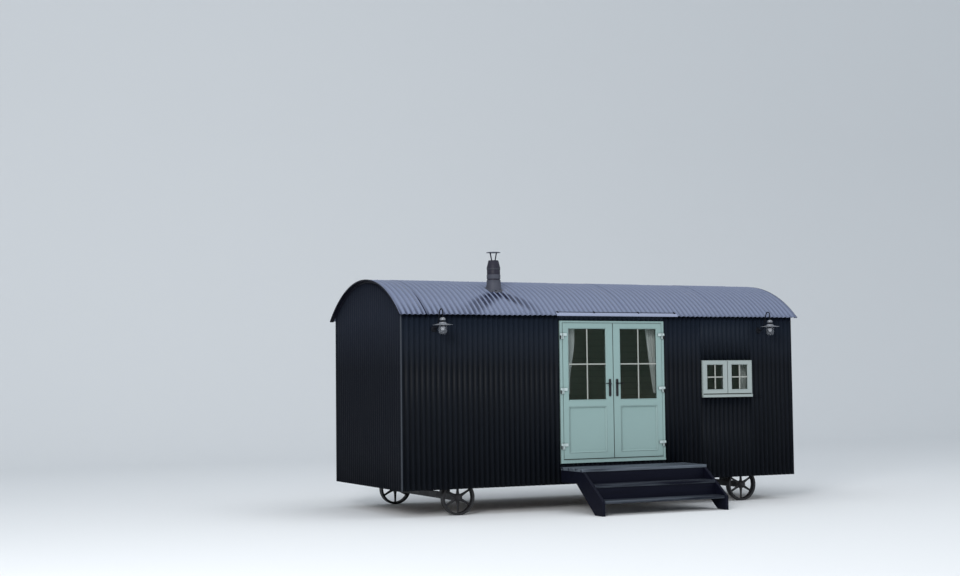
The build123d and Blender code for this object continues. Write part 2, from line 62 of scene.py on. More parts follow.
WALL_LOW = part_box("front_cladding_left")[0]
REAR_LOW, REAR_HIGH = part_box("rear_cladding")
FRAME_LOW, FRAME_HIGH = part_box("door_frame")
WINDOW_LOW, WINDOW_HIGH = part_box("window_frame")
ROOF_LOW, ROOF_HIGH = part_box("roof_sheet")
FRONT = WALL_LOW.y
REAR = REAR_HIGH.y
LEFT = REAR_LOW.x
RIGHT = REAR_HIGH.x
FOOT = WALL_LOW.z
MIDDLE = (ROOF_LOW.y + ROOF_HIGH.y) / 2
HALF_CHORD = (ROOF_HIGH.y - ROOF_LOW.y) / 2
RIDGE = ROOF_HIGH.z
EAVE = 2.645  # foot of the sheet's arc
ROOF_RISE = RIDGE - EAVE
ROOF_RADIUS = (HALF_CHORD**2 + ROOF_RISE**2) / (2 * ROOF_RISE)
ROOF_AXIS = RIDGE - ROOF_RADIUS
EAVE_ANGLE = math.asin(HALF_CHORD / ROOF_RADIUS)
UNDER_ROOF = ROOF_RADIUS - 0.018  # where the wall sheets end below the roof's
ROOF_WAVE = 0.88  # depth of the roof's wave as a share of the walls'

# Sizes and a turn that more than one piece needs

LAMP_RADIUS = 0.132
RIM_HALF = 0.045
HUB_PAST_RIM = 0.020
CAMERA_YAW = 0.4446


# Surfaces worked out with numpy


def quads(rows, columns, close_columns=False):
    """Index quads of a grid: (r, c) joins (r, c+1), (r+1, c+1) and (r+1, c), and the last column the first
    where it closes."""
    r = np.arange(rows - 1)[:, None]
    c = np.arange(columns if close_columns else columns - 1)[None, :]
    c2 = (c + 1) % columns
    corners = [r * columns + c, r * columns + c2, (r + 1) * columns + c2, (r + 1) * columns + c]
    return np.stack([corner.ravel() for corner in np.broadcast_arrays(*corners)], 1)


def joined(parts):
    """Several (points, faces) surfaces as one, each one's indices moved past the points before it."""
    points = []
    faces = []
    count = 0
    for part_points, part_faces in parts:
        points.append(part_points)
        faces += [[int(i) + count for i in face] for face in part_faces]
        count += len(part_points)
    return np.concatenate(points), faces


def sheet_surface(along, across, place):
    """place(u, v) on every pair of an along value u and an across value v."""
    u, v = np.meshgrid(along, across)
    return place(u, v).reshape(-1, 3), quads(len(across), len(along))


def turned(outline, centre, sides, axis="z"):
    """An outline of (radius, height) carried round: x = r cos a, y = r sin a, z = h, or about the y axis
    x = r cos a, y = -h, z = r sin a."""
    outline = np.array(outline, float)
    angle = np.arange(sides) * 2 * np.pi / sides
    ring = np.stack([np.cos(angle), np.sin(angle)], 1)
    flat = outline[:, None, 0, None] * ring[None]
    height = np.broadcast_to(outline[:, 1, None, None], (len(outline), sides, 1))
    points = np.concatenate([flat, height], 2).reshape(-1, 3)
    if axis == "y":
        points = points[:, [0, 2, 1]] * np.array([1, -1, 1])
    return points + np.array(centre), quads(len(outline), sides, close_columns=True)


def tube(path, radius, across, sides):
    """A round bar with filled ends: at each point p of a flat path, p + radius (b cos a + n sin a), with b
    across the path's plane and n = t x b."""
    path = np.array(path, float)
    across = np.array(across, float)
    radius = np.broadcast_to(np.array(radius, float), (len(path),))
    tangent = np.gradient(path, axis=0)
    tangent /= np.linalg.norm(tangent, axis=1)[:, None]
    normal = np.cross(tangent, across)
    angle = np.arange(sides) * 2 * np.pi / sides
    ring = across[None, None] * np.cos(angle)[None, :, None] + normal[:, None] * np.sin(angle)[None, :, None]
    points = (path[:, None] + radius[:, None, None] * ring).reshape(-1, 3)
    faces = quads(len(path), sides, close_columns=True).tolist()
    faces += [list(range(sides)), list(range(len(points) - 1, len(points) - 1 - sides, -1))]
    return points, faces


def prism(outline, start, end, axis):
    """A closed outline carried from start to end along an axis, its two ends filled. The outline's two
    numbers go to the other two axes in the order x, y, z."""
    outline = np.array(outline, float)
    count = len(outline)
    points = np.empty((2, count, 3))
    others = [i for i in range(3) if i != "xyz".index(axis)]
    points[:, :, others[0]] = outline[:, 0]
    points[:, :, others[1]] = outline[:, 1]
    points[0, :, "xyz".index(axis)] = start
    points[1, :, "xyz".index(axis)] = end
    faces = quads(2, count, close_columns=True).tolist()
    faces += [list(range(count)), list(range(2 * count - 1, count - 1, -1))]
    return points.reshape(-1, 3), faces


def plank(low, high, round_over):
    """A board between two corners, its long edges rounded: a rounded outline in y and z carried along x."""
    return prism(rounded_box(low[1], high[1], low[2], high[2], round_over), low[0], high[0], "x")


def rounded_box(u0, u1, v0, v1, radius, steps=3):
    """The outline of a rectangle whose corners are quarter circles: centre + radius (cos a, sin a)."""
    angle = np.linspace(0, np.pi / 2, steps + 1)
    corners = []
    for turn, (cu, cv) in enumerate(((u1 - radius, v1 - radius), (u0 + radius, v1 - radius),
                                     (u0 + radius, v0 + radius), (u1 - radius, v0 + radius))):
        corners.append(np.stack([cu + radius * np.cos(angle + turn * np.pi / 2),
                                 cv + radius * np.sin(angle + turn * np.pi / 2)], 1))
    return np.concatenate(corners)


def moulding(x0, x1, z0, z1, profile):
    """A profile of (inset, y) carried round an upright rectangle, whose four corners move in by each
    inset."""
    profile = np.array(profile, float)
    inset = profile[:, 0, None]
    y = np.broadcast_to(profile[:, 1, None], (len(profile), 4))
    x = np.array([x0, x1, x1, x0]) + inset * np.array([1, -1, -1, 1])
    z = np.array([z0, z0, z1, z1]) + inset * np.array([1, 1, -1, -1])
    return np.stack([x, y, z], 2).reshape(-1, 3), quads(len(profile), 4, close_columns=True)


def face_with_holes(x0, x1, z0, z1, holes, y, facing):
    """A flat upright face with rectangular holes: a grid's cells through every edge, less those in a hole."""
    xs = np.unique(np.round([x0, x1] + [value for hole in holes for value in hole[:2]], 6))
    zs = np.unique(np.round([z0, z1] + [value for hole in holes for value in hole[2:]], 6))
    gx, gz = np.meshgrid(xs, zs)
    points = np.stack([gx, np.full_like(gx, y), gz], 2).reshape(-1, 3)
    faces = quads(len(zs), len(xs))
    middle = points[faces].mean(1)
    keep = np.ones(len(faces), bool)
    for hx0, hx1, hz0, hz1 in holes:
        inside = (middle[:, 0] > hx0) & (middle[:, 0] < hx1) & (middle[:, 2] > hz0) & (middle[:, 2] < hz1)
        keep &= ~inside
    faces = faces[keep]
    return points, faces if facing < 0 else faces[:, ::-1]


def joinery(x0, x1, z0, z1, front, back, edge, openings):
    """A board with openings: both faces less a rounded edge, the edge round it, and what lines each opening.
    An opening is (hole, front bead, back bead, whether a panel fills it), and a bead is (inset, depth) from
    its face."""
    holes = [opening[0] for opening in openings]
    inner = (x0 + edge, x1 - edge, z0 + edge, z1 - edge)
    parts = [face_with_holes(*inner, holes, y, facing) for y, facing in ((front, -1), (back, 1))]
    turns = (0, 0.4, 0.8, 1.2, math.pi / 2)
    bend = [(edge * (1 - math.sin(a)), front + edge * (1 - math.cos(a))) for a in turns]
    parts.append(moulding(x0, x1, z0, z1, bend + [(inset, front + back - y) for inset, y in reversed(bend)]))
    for hole, front_bead, back_bead, panel in openings:
        front_lining = [(inset, front + depth) for inset, depth in front_bead]
        back_lining = [(inset, back - depth) for inset, depth in reversed(back_bead)]
        if not panel:
            parts.append(moulding(*hole, front_lining + back_lining))
            continue
        hx0, hx1, hz0, hz1 = hole
        for lining, end, facing in ((front_lining, -1, -1), (back_lining, 0, 1)):
            inset, y = lining[end]
            parts.append(moulding(*hole, lining))
            parts.append(face_with_holes(hx0 + inset, hx1 - inset, hz0 + inset, hz1 - inset, [], y, facing))
    return joined(parts)


def dotted(shape, places):
    """One small shape repeated at many places, as points + place."""
    points, faces = shape
    places = np.array(places, float)
    faces = np.array(faces)
    many = (points[None] + places[:, None]).reshape(-1, 3)
    offsets = (np.arange(len(places)) * len(points))[:, None, None]
    return many, (faces[None] + offsets).reshape(-1, faces.shape[1])


def piece(name, surface, material, replaces=(), body="hut", closed=True, smooth=40, gauge=0, bevel=0):
    """Makes an object of a surface, with its doubles merged, and gives it to a body of the solid model."""
    points, faces = surface
    mesh = bpy.data.meshes.new(name)
    faces = faces.tolist() if isinstance(faces, np.ndarray) else faces
    mesh.from_pydata(points.tolist(), [], faces)
    work = bmesh.new()
    work.from_mesh(mesh)
    bmesh.ops.remove_doubles(work, verts=work.verts, dist=1e-5)
    if closed:
        bmesh.ops.recalc_face_normals(work, faces=work.faces)
    work.to_mesh(mesh)
    work.free()
    mesh.shade_smooth()
    mesh.set_sharp_from_angle(angle=math.radians(smooth))
    mesh.materials.append(material)
    made = bpy.data.objects.new(name, mesh)
    bpy.context.scene.collection.objects.link(made)
    if gauge:
        wall = made.modifiers.new("gauge", "SOLIDIFY")
        wall.thickness = gauge
        wall.offset = -1
        wall.use_even_offset = True
    if bevel:
        worn = made.modifiers.new("edges", "BEVEL")
        worn.width = bevel
        worn.segments = 2
        worn.limit_method = "ANGLE"
        worn.angle_limit = math.radians(50)
    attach(made, body)
    if replaces:
        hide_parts(*replaces)
    return made


def paint_nodes(material, *names):
    """Gives a finish to nodes of the solid model that show as they are."""
    for name in names:
        node = frame["nodes"][name]
        node.data.materials.clear()
        node.data.materials.append(material)


# Finishes


def sum_node(operation, swapped=False):
    """A method that joins a value and another value or number in a Math node."""

    def method(self, other):
        first, second = (other, self) if swapped else (self, other)
        return self.finish.node("ShaderNodeMath", {"operation": operation}, {0: first, 1: second})

    return method


class Value:
    """A shader socket that takes part in sums, each of which adds a Math node."""

    def __init__(self, finish, socket):
        self.finish = finish
        self.socket = socket

    __add__ = sum_node("ADD")
    __radd__ = sum_node("ADD", swapped=True)
    __sub__ = sum_node("SUBTRACT")
    __rsub__ = sum_node("SUBTRACT", swapped=True)
    __mul__ = sum_node("MULTIPLY")
    __rmul__ = sum_node("MULTIPLY", swapped=True)
    __truediv__ = sum_node("DIVIDE")
    __rtruediv__ = sum_node("DIVIDE", swapped=True)

    def __abs__(self):
        return self.finish.node("ShaderNodeMath", {"operation": "ABSOLUTE"}, {0: self})


class Finish:
    """A material in the making on Object coordinates."""

    def __init__(self, name, **constants):
        self.material = bpy.data.materials.new(name)
        self.material.use_nodes = True
        self.tree = self.material.node_tree
        self.shader = self.tree.nodes["Principled BSDF"]
        for socket, value in constants.items():
            self.shader.inputs[socket.replace("_", " ")].default_value = value
        self.place = self.node("ShaderNodeTexCoord", {}, {}, "Object")

    def node(self, kind, settings, inputs, output=0):
        """Adds a node of a kind, sets what it is, then its sockets' values or links, and gives one output."""
        node = self.tree.nodes.new(kind)
        for key, value in settings.items():
            if key == "stops":
                ramp = node.color_ramp.elements
                while len(ramp) < len(value):
                    ramp.new(0.5)
                for element, (position, level) in zip(ramp, value):
                    element.position = position
                    element.color = (level, level, level, 1)
            else:
                setattr(node, key, value)
        for key, value in inputs.items():
            if isinstance(value, Value):
                self.tree.links.new(value.socket, node.inputs[key])
            else:
                node.inputs[key].default_value = value
        return Value(self, node.outputs[output])

    def stretched(self, scale):
        """Object coordinates times a scale on each axis."""
        return self.node("ShaderNodeMapping", {}, {"Vector": self.place, "Scale": scale})

    def noise(self, scale, detail, where=None, roughness=0.55):
        """Cloudy noise from 0 to 1."""
        return self.node("ShaderNodeTexNoise", {}, {"Vector": where or self.place, "Scale": scale,
                                                   "Detail": detail, "Roughness": roughness})

    def axis(self, name):
        """One coordinate of the place."""
        return self.node("ShaderNodeSeparateXYZ", {}, {0: self.place}, name)

    def ramp(self, value, *stops):
        """A value led through stops of (position, level)."""
        return self.node("ShaderNodeValToRGB", {"stops": stops}, {0: value})

    def mix(self, factor, first, second):
        """From the first colour to the second by a factor."""
        first = first if isinstance(first, Value) else (*first[:3], 1)
        second = second if isinstance(second, Value) else (*second[:3], 1)
        return self.node("ShaderNodeMix", {"data_type": "RGBA"}, {0: factor, 6: first, 7: second}, 2)

    def edges(self, reach):
        """Where the surface bends sharply outwards: the bevelled normal leaves the plain one."""
        bent = self.node("ShaderNodeBevel", {"samples": 4}, {"Radius": reach})
        plain = self.node("ShaderNodeNewGeometry", {}, {}, "Normal")
        cosine = self.node("ShaderNodeVectorMath", {"operation": "DOT_PRODUCT"}, {0: bent, 1: plain}, 1)
        return self.ramp(cosine, (0.80, 1), (0.985, 0))

    def done(self, colour, roughness=None, bump=None, strength=0.2, distance=0.001):
        """Links the colour, roughness and relief, and gives the finished material."""
        self.tree.links.new(colour.socket, self.shader.inputs["Base Color"])
        if roughness is not None:
            self.tree.links.new(roughness.socket, self.shader.inputs["Roughness"])
        if bump is not None:
            relief = self.node("ShaderNodeBump", {},
                               {"Strength": strength, "Distance": distance, "Height": bump})
            self.tree.links.new(relief.socket, self.shader.inputs["Normal"])
        return self.material


def shade(colour, factor):
    """A colour times a factor."""
    return tuple(min(1, channel * factor) for channel in colour[:3])


def sheet_paint(name, colour, streak, dust, roughness, gloss, groove=None, soot_and_lap_shadow=None, painted_eave_light=0):
    """Weathered paint on steel sheet: cloudy tone, rain streaks, a little dust low down, and painted shade in
    the
    troughs of a groove given as (axis, first trough, pitch, strength):
    ((1 + cos(2 pi (place - first) / pitch)) / 2)^2. The next argument is (x, y, colour, seam). It darkens the
    troughs with a sooty stain near two lines that run from x, y towards the eave, y - 0.04 - 0.74 |d| - 0.11
    d at a distance d from x, and near the eave at the left, and it paints a shadow line along the lap seam.
    The last argument is how many times paler the paint is under the eave: painted light where the eave's
    shadow falls."""
    f = Finish(name, Specular_IOR_Level=gloss)
    clouds = f.ramp(f.noise(1.3, 4), (0.3, 0), (0.75, 1))
    rain = f.ramp(f.noise(3, 5, f.stretched((14, 14, 0.5))), (0.42, 0), (0.72, 1))
    body = f.mix(clouds * 0.5, colour, shade(colour, streak))
    body = f.mix(rain * 0.25, body, dust)
    height = f.axis("Z")
    low = f.ramp(1 - height * 1.1, (0.35, 0), (0.75, 1)) * f.ramp(f.noise(9, 4), (0.3, 0), (0.7, 1))
    body = f.mix(low * 0.30, body, dust)
    if groove:
        axis, first, pitch, strength = groove
        turn = (f.axis(axis) - first) * (2 * math.pi / pitch)
        trough = (f.node("ShaderNodeMath", {"operation": "COSINE"}, {0: turn}) + 1) * 0.5
        # Painted shade: the troughs of the wave are darkened, as shade falls in them.
        body = f.mix(trough * trough * strength, body, shade(colour, 0.3))
        # Painted light: towards the eave the paint turns paler, lifting the shade that the eave casts.
        if painted_eave_light:
            body = f.mix(f.ramp(height - 1.9, (0.05, 0), (0.75, 0.9)), body, shade(colour, painted_eave_light))
        if soot_and_lap_shadow:
            x, y, black, seam_x = soot_and_lap_shadow
            across = f.axis("X") - x
            line = f.axis("Y") - y + abs(across) * 0.74 + across * 0.11 + 0.04
            near = f.ramp(abs(line) * 4.2, (0.3, 1), (0.65, 0))
            near = near * f.ramp(abs(across) * 1.5 + across * 0.4, (0.25, 1), (0.95, 0))
            run = f.ramp(f.noise(2.2, 4, f.stretched((9, 1.2, 1.2))), (0.32, 0.55), (0.5, 1))
            body = f.mix(f.ramp(trough, (0.12, 0), (0.45, 1)) * near * run, body, black)
            front = f.ramp(f.axis("Y") * -1, (0.1, 0), (0.3, 1))
            over_eave = height - 2.6
            drip = f.ramp(over_eave * 5, (0.3, 0.6), (1, 0))
            drip = drip * f.ramp(across * 0.5 + 0.85, (0.35, 1), (0.7, 0))
            body = f.mix(f.ramp(trough, (0.4, 0), (0.9, 1)) * drip * run * front, body, black)
            # Painted shadow: a dark line along the lap seam near the front eave, where the upper sheet stands
            # off the lower.
            seam = f.ramp(abs(f.axis("X") - seam_x) * 60, (0.4, 1), (0.8, 0))
            body = f.mix(seam * f.ramp(over_eave * 2.5, (0.6, 1), (1, 0)) * front, body, black)
    worn = roughness + (clouds - 0.5) * 0.12 + rain * 0.06
    return f.done(body, worn, f.noise(240, 2), 0.12, 0.0004)


def satin_paint(name, colour, light, dirt_and_shade, roughness=0.38):
    """Satin joinery finish: faint tone changes, a paler worn edge and painted shade in the corners."""
    f = Finish(name, Specular_IOR_Level=0.45)
    tone = f.ramp(f.noise(2.2, 4), (0.3, 0), (0.7, 1))
    body = f.mix(tone * 0.5, colour, shade(colour, 0.93))
    speck = f.ramp(f.noise(38, 4), (0.66, 0), (0.78, 1))
    body = f.mix(speck * 0.12, body, dirt_and_shade)
    # Painted shade: the finish darkens in corners and recesses that see little open sky.
    open_sky = f.node("ShaderNodeAmbientOcclusion", {"samples": 6}, {"Distance": 0.03}, 1)
    body = f.mix(f.ramp(open_sky, (0.4, 0.9), (0.93, 0)), body, shade(dirt_and_shade, 0.6))
    body = f.mix(f.edges(0.004) * 0.35, body, light)
    return f.done(body, roughness + (tone - 0.5) * 0.1, f.noise(120, 3), 0.08, 0.0004)


def timber(name, colour, grain, worn_colour, stretch, wear, bare=0.32):
    """Sawn timber: long grain across the stretch, knots as slow rings, worn patches that begin where the
    noise passes bare, and worn paler edges."""
    f = Finish(name, Specular_IOR_Level=0.1)
    fibres = f.noise(1, 6, f.stretched(stretch), 0.65)
    rings = f.node("ShaderNodeTexWave", {"wave_type": "BANDS", "bands_direction": "DIAGONAL"},
                   {"Vector": f.stretched(tuple(s * 0.16 for s in stretch)), "Scale": 0.6, "Distortion": 7.0,
                    "Detail": 3.0}, 1)
    streaks = f.ramp(fibres, (0.35, 0), (0.68, 1))
    body = f.mix(streaks * 0.7, colour, grain)
    body = f.mix(rings * 0.25, body, shade(grain, 0.8))
    patches = f.ramp(f.noise(1, 5, f.stretched(tuple(s * 0.3 for s in stretch))), (bare, 0), (bare + 0.25, 1))
    body = f.mix(patches * wear, body, worn_colour)
    body = f.mix(f.edges(0.008) * wear, body, shade(worn_colour, 1.5))
    return f.done(body, 0.6 + (streaks - 0.5) * 0.15, fibres, 0.35, 0.0012)


def metal_paint(name, colour, wear, roughness, metallic=0.0, gloss=0.3):
    """Painted or cast metal: mottled tone, bare rubbed edges and a fine grain."""
    f = Finish(name, Specular_IOR_Level=gloss, Metallic=metallic)
    tone = f.ramp(f.noise(12, 4), (0.3, 0), (0.7, 1))
    body = f.mix(tone * 0.6, colour, shade(colour, 1.25))
    body = f.mix(f.edges(0.003) * 0.5, body, wear)
    return f.done(body, roughness + (tone - 0.5) * 0.15, f.noise(360, 2), 0.1, 0.0004)


def pane(name, colour, alpha, roughness=0.03):
    """Glass: a clear tint with faint smears that change only the gloss."""
    f = Finish(name, Alpha=alpha, Specular_IOR_Level=0.22, IOR=1.5)
    smear = f.ramp(f.noise(7, 4), (0.4, 0), (0.75, 1))
    return f.done(f.mix(smear * 0.3, colour, shade(colour, 1.3)), roughness + smear * 0.05)


def cloth(name, colour):
    """Thin woven cloth: two crossed fine waves for the weave and a soft cloudy tone."""
    f = Finish(name, Roughness=0.85, Specular_IOR_Level=0.2, Sheen_Weight=0.3)
    warp = f.node("ShaderNodeTexWave", {"bands_direction": "X"}, {"Vector": f.place, "Scale": 180.0}, 1)
    weft = f.node("ShaderNodeTexWave", {"bands_direction": "Z"}, {"Vector": f.place, "Scale": 180.0}, 1)
    tone = f.ramp(f.noise(5, 3), (0.3, 0), (0.7, 1))
    weave = warp * 0.5 + weft * 0.5
    body = f.mix(tone * 0.4, colour, shade(colour, 0.85))
    body = f.mix(weave * 0.15, body, shade(colour, 0.7))
    return f.done(body, None, weave, 0.15, 0.0004)


def boarding(name, colour, groove, across, width):
    """Narrow boards: a dark line every width along one axis, each board its own tone, with fine grain."""
    f = Finish(name, Specular_IOR_Level=0.3)
    place = f.axis(across) / width
    part = f.node("ShaderNodeMath", {"operation": "FRACT"}, {0: place})
    number = f.node("ShaderNodeMath", {"operation": "FLOOR"}, {0: place})
    own = f.node("ShaderNodeTexWhiteNoise", {"noise_dimensions": "1D"}, {"W": number}, 0)
    line = f.ramp(part, (0.0, 1), (0.03, 0)) + f.ramp(part, (0.97, 0), (1.0, 1))
    grain = f.noise(1, 5, f.stretched((40, 40, 40) if across == "Z" else (6, 60, 60)))
    body = f.mix(own * 0.35, colour, shade(colour, 0.8))
    body = f.mix(f.ramp(grain, (0.4, 0), (0.7, 1)) * 0.3, body, shade(colour, 0.7))
    body = f.mix(line, body, groove)
    return f.done(body, 0.55 + grain * 0.1, 1 - line, 0.5, 0.003)


# Settings


def length(name, text, default):
    """A setting in metres."""
    return bpy.props.FloatProperty(name=name, description=text, default=default, unit="LENGTH", min=0,
                                   precision=4)


def colour(name, text, default):
    """A setting for a colour."""
    return bpy.props.FloatVectorProperty(name=name, description=text, default=default, subtype="COLOR",
                                         size=3, min=0, max=1)


class HutSizes(bpy.types.PropertyGroup):
    """Sizes of the pieces that the solid model leaves plain."""

    pitch: length("Wave pitch", "Distance between two troughs of the corrugated sheet", 0.0762)
    depth: length("Wave depth", "Height of the corrugated sheet's wave", 0.0168)
    gauge: length("Sheet gauge", "Thickness of the sheet", 0.001)
    first_trough: length("First trough", "Distance of the first trough from the left end", 0.133)
    sheet_cover: length("Sheet cover", "Width that one roof sheet covers", 0.762)
    first_cover: length("First cover", "Width covered by the sheet at the left end, cut narrower", 0.42)
    lap_step: length("Lap step", "How far an upper sheet stands off the lower one", 0.0028)
    bead: length("Glazing bead", "Width of the bead round the glass", 0.014)
    bar: length("Glazing bar", "Width of the bars over the glass", 0.019)
    strap: length("Hinge strap", "Height of a hinge's pale strap", 0.040)
    neck: length("Swan neck", "Radius of the lamp's neck", 0.0075)
    board: length("Step board", "Width of the boards of the landing", 0.118)


class HutColours(bpy.types.PropertyGroup):
    """Colours of the finishes, as light reflected in red, green and blue."""

    wall: colour("Wall sheet", "Dark paint of the walls", (0.0034, 0.0049, 0.0080))
    wall_dust: colour("Wall dust", "Rain marks on the walls", (0.012, 0.014, 0.018))
    # The end walls' paint is a paler copy of the wall paint: painted light on the ends.
    end_wall_lit: colour("End sheet", "Dark paint of the end walls", (0.0046, 0.0058, 0.0093))
    roof: colour("Roof sheet", "Paint of the roof", (0.153, 0.180, 0.268))
    roof_dust: colour("Roof dust", "Weathering on the roof", (0.235, 0.265, 0.33))
    # This colour also paints the shadow line along the roof's lap seam.
    soot_and_lap_shadow: colour("Soot", "Soot and dirt in the roof's troughs", (0.002, 0.005, 0.024))
    strip: colour("Drip strip", "Folded strip over the doors", (0.245, 0.275, 0.385))
    verge: colour("Verge cap", "Cap on the roof's ends", (0.0055, 0.0060, 0.0110))
    corner: colour("Corner angle", "Bare metal angle at the front left corner", (0.034, 0.040, 0.050))
    sage: colour("Joinery", "Doors and their frame", (0.247, 0.359, 0.347))
    window: colour("Window joinery", "Frame and sashes of the window", (0.320, 0.369, 0.360))
    sage_light: colour("Joinery edge", "Rubbed edges of the doors and window", (0.37, 0.48, 0.47))
    hinge: colour("Hinges", "Pale flags of the hinges", (0.46, 0.55, 0.55))
    # This colour gives the specks of grime and, darker, the painted shade in the joinery's corners.
    dirt_and_shade: colour("Dirt", "Dirt on the joinery", (0.12, 0.15, 0.14))
    bars: colour("Glazing bars", "Pale bars over the glass", (0.33, 0.345, 0.315))
    glass: colour("Glass", "Tint of the panes", (0.026, 0.042, 0.030))
    jar: colour("Lamp glass", "Clear jar of the lamps", (0.16, 0.17, 0.19))
    bulb: colour("Bulb", "White bulb", (0.78, 0.80, 0.86))
    lamp: colour("Lamp metal", "Swan neck", (0.006, 0.007, 0.010))
    shade: colour("Lamp shade", "Shade and cap", (0.20, 0.21, 0.23))
    flue_black: colour("Flue", "Dark bands of the flue", (0.020, 0.019, 0.030))
    flue_grey: colour("Flue collar", "Grey bands of the flue", (0.059, 0.062, 0.080))
    step: colour("Steps", "Dark stain of the steps", (0.0027, 0.0032, 0.0078))
    step_worn: colour("Worn steps", "Greyed wear on the steps", (0.125, 0.148, 0.177))
    chassis: colour("Chassis", "Paint of the chassis", (0.016, 0.017, 0.020))
    iron: colour("Wheels", "Paint of the cast wheels", (0.014, 0.014, 0.016))
    hardware: colour("Door furniture", "Levers, plates and hinge knuckles", (0.008, 0.008, 0.010))
    curtain: colour("Curtains", "Cloth", (0.80, 0.86, 0.84))
    rod: colour("Rods", "Curtain rods", (0.10, 0.10, 0.10))
    lining: colour("Lining", "Boards of the walls inside", (0.30, 0.26, 0.20))
    ceiling: colour("Ceiling", "Boards of the ceiling", (0.34, 0.31, 0.26))
    boards: colour("Floor", "Floor boards", (0.20, 0.13, 0.08))
    ground: colour("Stage", "Floor and backdrop", (0.78, 0.79, 0.80))


def wave(along, sizes, start):
    """How far the sheet lies behind its crests: depth (1 + cos(2 pi (along - start) / pitch)) / 2."""
    return sizes.depth * (1 + np.cos(2 * np.pi * (along - start) / sizes.pitch)) / 2


def steps_of(start, end, step):
    """Even steps from start to end, none longer than step."""
    return np.linspace(start, end, max(2, int(math.ceil((end - start) / step)) + 1))


def arc_height(y, radius):
    """Height of an arc of the roof over a place across it."""
    return ROOF_AXIS + np.sqrt(np.maximum(radius**2 - (y - MIDDLE) ** 2, 0))


def on_arc(radius, angle):
    """Places round the roof: y = middle + r sin a and z = axis + r cos a."""
    return MIDDLE + radius * np.sin(angle), ROOF_AXIS + radius * np.cos(angle)


def leaned(points, angle):
    """Points turned about x as the roof leans at an angle: y' = y cos a + z sin a, z' = z cos a - y sin a."""
    cosine, sine = math.cos(angle), math.sin(angle)
    return points @ np.array([[1, 0, 0], [0, cosine, -sine], [0, sine, cosine]])


def middle_of(node):
    """Middle of a node's box."""
    low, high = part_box(node)
    return (low + high) / 2


def axis_of(name):
    """A place on a joint's axis."""
    return next(joint for joint in frame["joints"] if joint["name"] == name)["pos_m"]


class HUT_OT_wall_sheets(bpy.types.Operator):
    """Corrugated sheets on the four walls, with their screws"""

    bl_idname = "hut.wall_sheets"
    bl_label = "Wall sheets"

    def execute(self, context):
        sizes = context.scene.hut_sizes
        colours = context.scene.hut_colours
        trough = LEFT + sizes.first_trough
        # The walls take painted shade in their troughs and painted light under the eave.
        steel = sheet_paint("wall_sheet_paint", colours.wall, 1.4, colours.wall_dust, 0.5, 0.09,
                            ("X", trough, sizes.pitch, 0.6), painted_eave_light=3.9)
        # The ends take the paler copy of the wall paint, painted light, with little painted shade in their
        # troughs.
        end_steel = sheet_paint("end_sheet_paint", colours.end_wall_lit, 1.3, colours.wall_dust, 0.55, 0.07,
                                ("Y", MIDDLE, sizes.pitch, 0.1), painted_eave_light=2.6)
        step = sizes.pitch / 10

        def front_sheet(x0, x1, z0, z1):
            """x runs along the wall, z up, y = crest plane + wave(x)."""
            return sheet_surface(steps_of(x0, x1, step), [z0, z1],
                                 lambda x, z: np.stack([x, FRONT + wave(x, sizes, trough), z], 2))

        def wall_sheet(name, surface, finish, node):
            piece(name, surface, finish, [node], closed=False, gauge=sizes.gauge)

        top = float(arc_height(FRONT, UNDER_ROOF))
        door_left, door_right = FRAME_LOW.x, FRAME_HIGH.x
        window_left, window_right = WINDOW_LOW.x, WINDOW_HIGH.x
        spans = {
            "left": [(LEFT, door_left, FOOT, top)],
            "at_door": [(door_left, door_right, FRAME_HIGH.z, top),
                        (door_left, door_right, FOOT, FRAME_LOW.z)],
            "right": [(door_right, window_left, FOOT, top), (window_left, window_right, FOOT, WINDOW_LOW.z),
                      (window_left, window_right, WINDOW_HIGH.z, top), (window_right, RIGHT, FOOT, top)],
        }
        for name, sheets in spans.items():
            surface = joined([front_sheet(*span) for span in sheets])
            wall_sheet(f"front_sheets_{name}", surface, steel, f"front_cladding_{name}")
        rear = sheet_surface(steps_of(LEFT, RIGHT, step)[::-1], [FOOT, top],
                             lambda x, z: np.stack([x, REAR - wave(x, sizes, trough), z], 2))
        wall_sheet("rear_sheets", rear, steel, "rear_cladding")

        for name, x_face, side in (("left", LEFT, -1), ("right", RIGHT, 1)):
            def end_place(y, share, x_face=x_face, side=side):
                """y across the hut, z from the foot to the arc, x = the end's face moved in by wave(y)."""
                high = arc_height(y, UNDER_ROOF)
                return np.stack([x_face - side * wave(y, sizes, MIDDLE), y, FOOT + share * (high - FOOT)], 2)

            across = steps_of(FRONT, REAR, step)
            end = sheet_surface(across if side > 0 else across[::-1], [0, 0.25, 0.5, 0.75, 1], end_place)
            wall_sheet(f"{name}_end_sheets", end, end_steel, f"{name}_end_cladding")

        crests = trough + sizes.pitch * (np.arange(0, 80, 3) + 0.5)
        crests = crests[(crests > LEFT + 0.05) & (crests < RIGHT - 0.05)]
        outline = [(0, 0.0042), (0.003, 0.0042), (0.0045, 0.002), (0.0075, 0.0012), (0.0075, 0)]
        points, faces = turned(outline, (0, 0, 0), 8, "y")
        rows = (0.43, 1.16, 1.90, 2.58)

        def on_sheet(x, z):
            """True where no opening takes the screw's place."""
            over_door = FRAME_LOW.x - 0.02 < x < FRAME_HIGH.x + 0.02 and z > FOOT + 0.2
            over_window = WINDOW_LOW.x - 0.03 < x < WINDOW_HIGH.x + 0.03 and WINDOW_LOW.z < z < WINDOW_HIGH.z
            return not over_door and not over_window

        grid = [(x, z) for z in rows for x in crests]
        ahead = dotted((points, faces), [(x, FRONT + 0.0003, z) for x, z in grid if on_sheet(x, z)])
        behind = dotted((points * np.array([-1, -1, 1]), faces), [(x, REAR - 0.0003, z) for x, z in grid])
        piece("wall_screws", joined([ahead, behind]), steel)
        return {"FINISHED"}


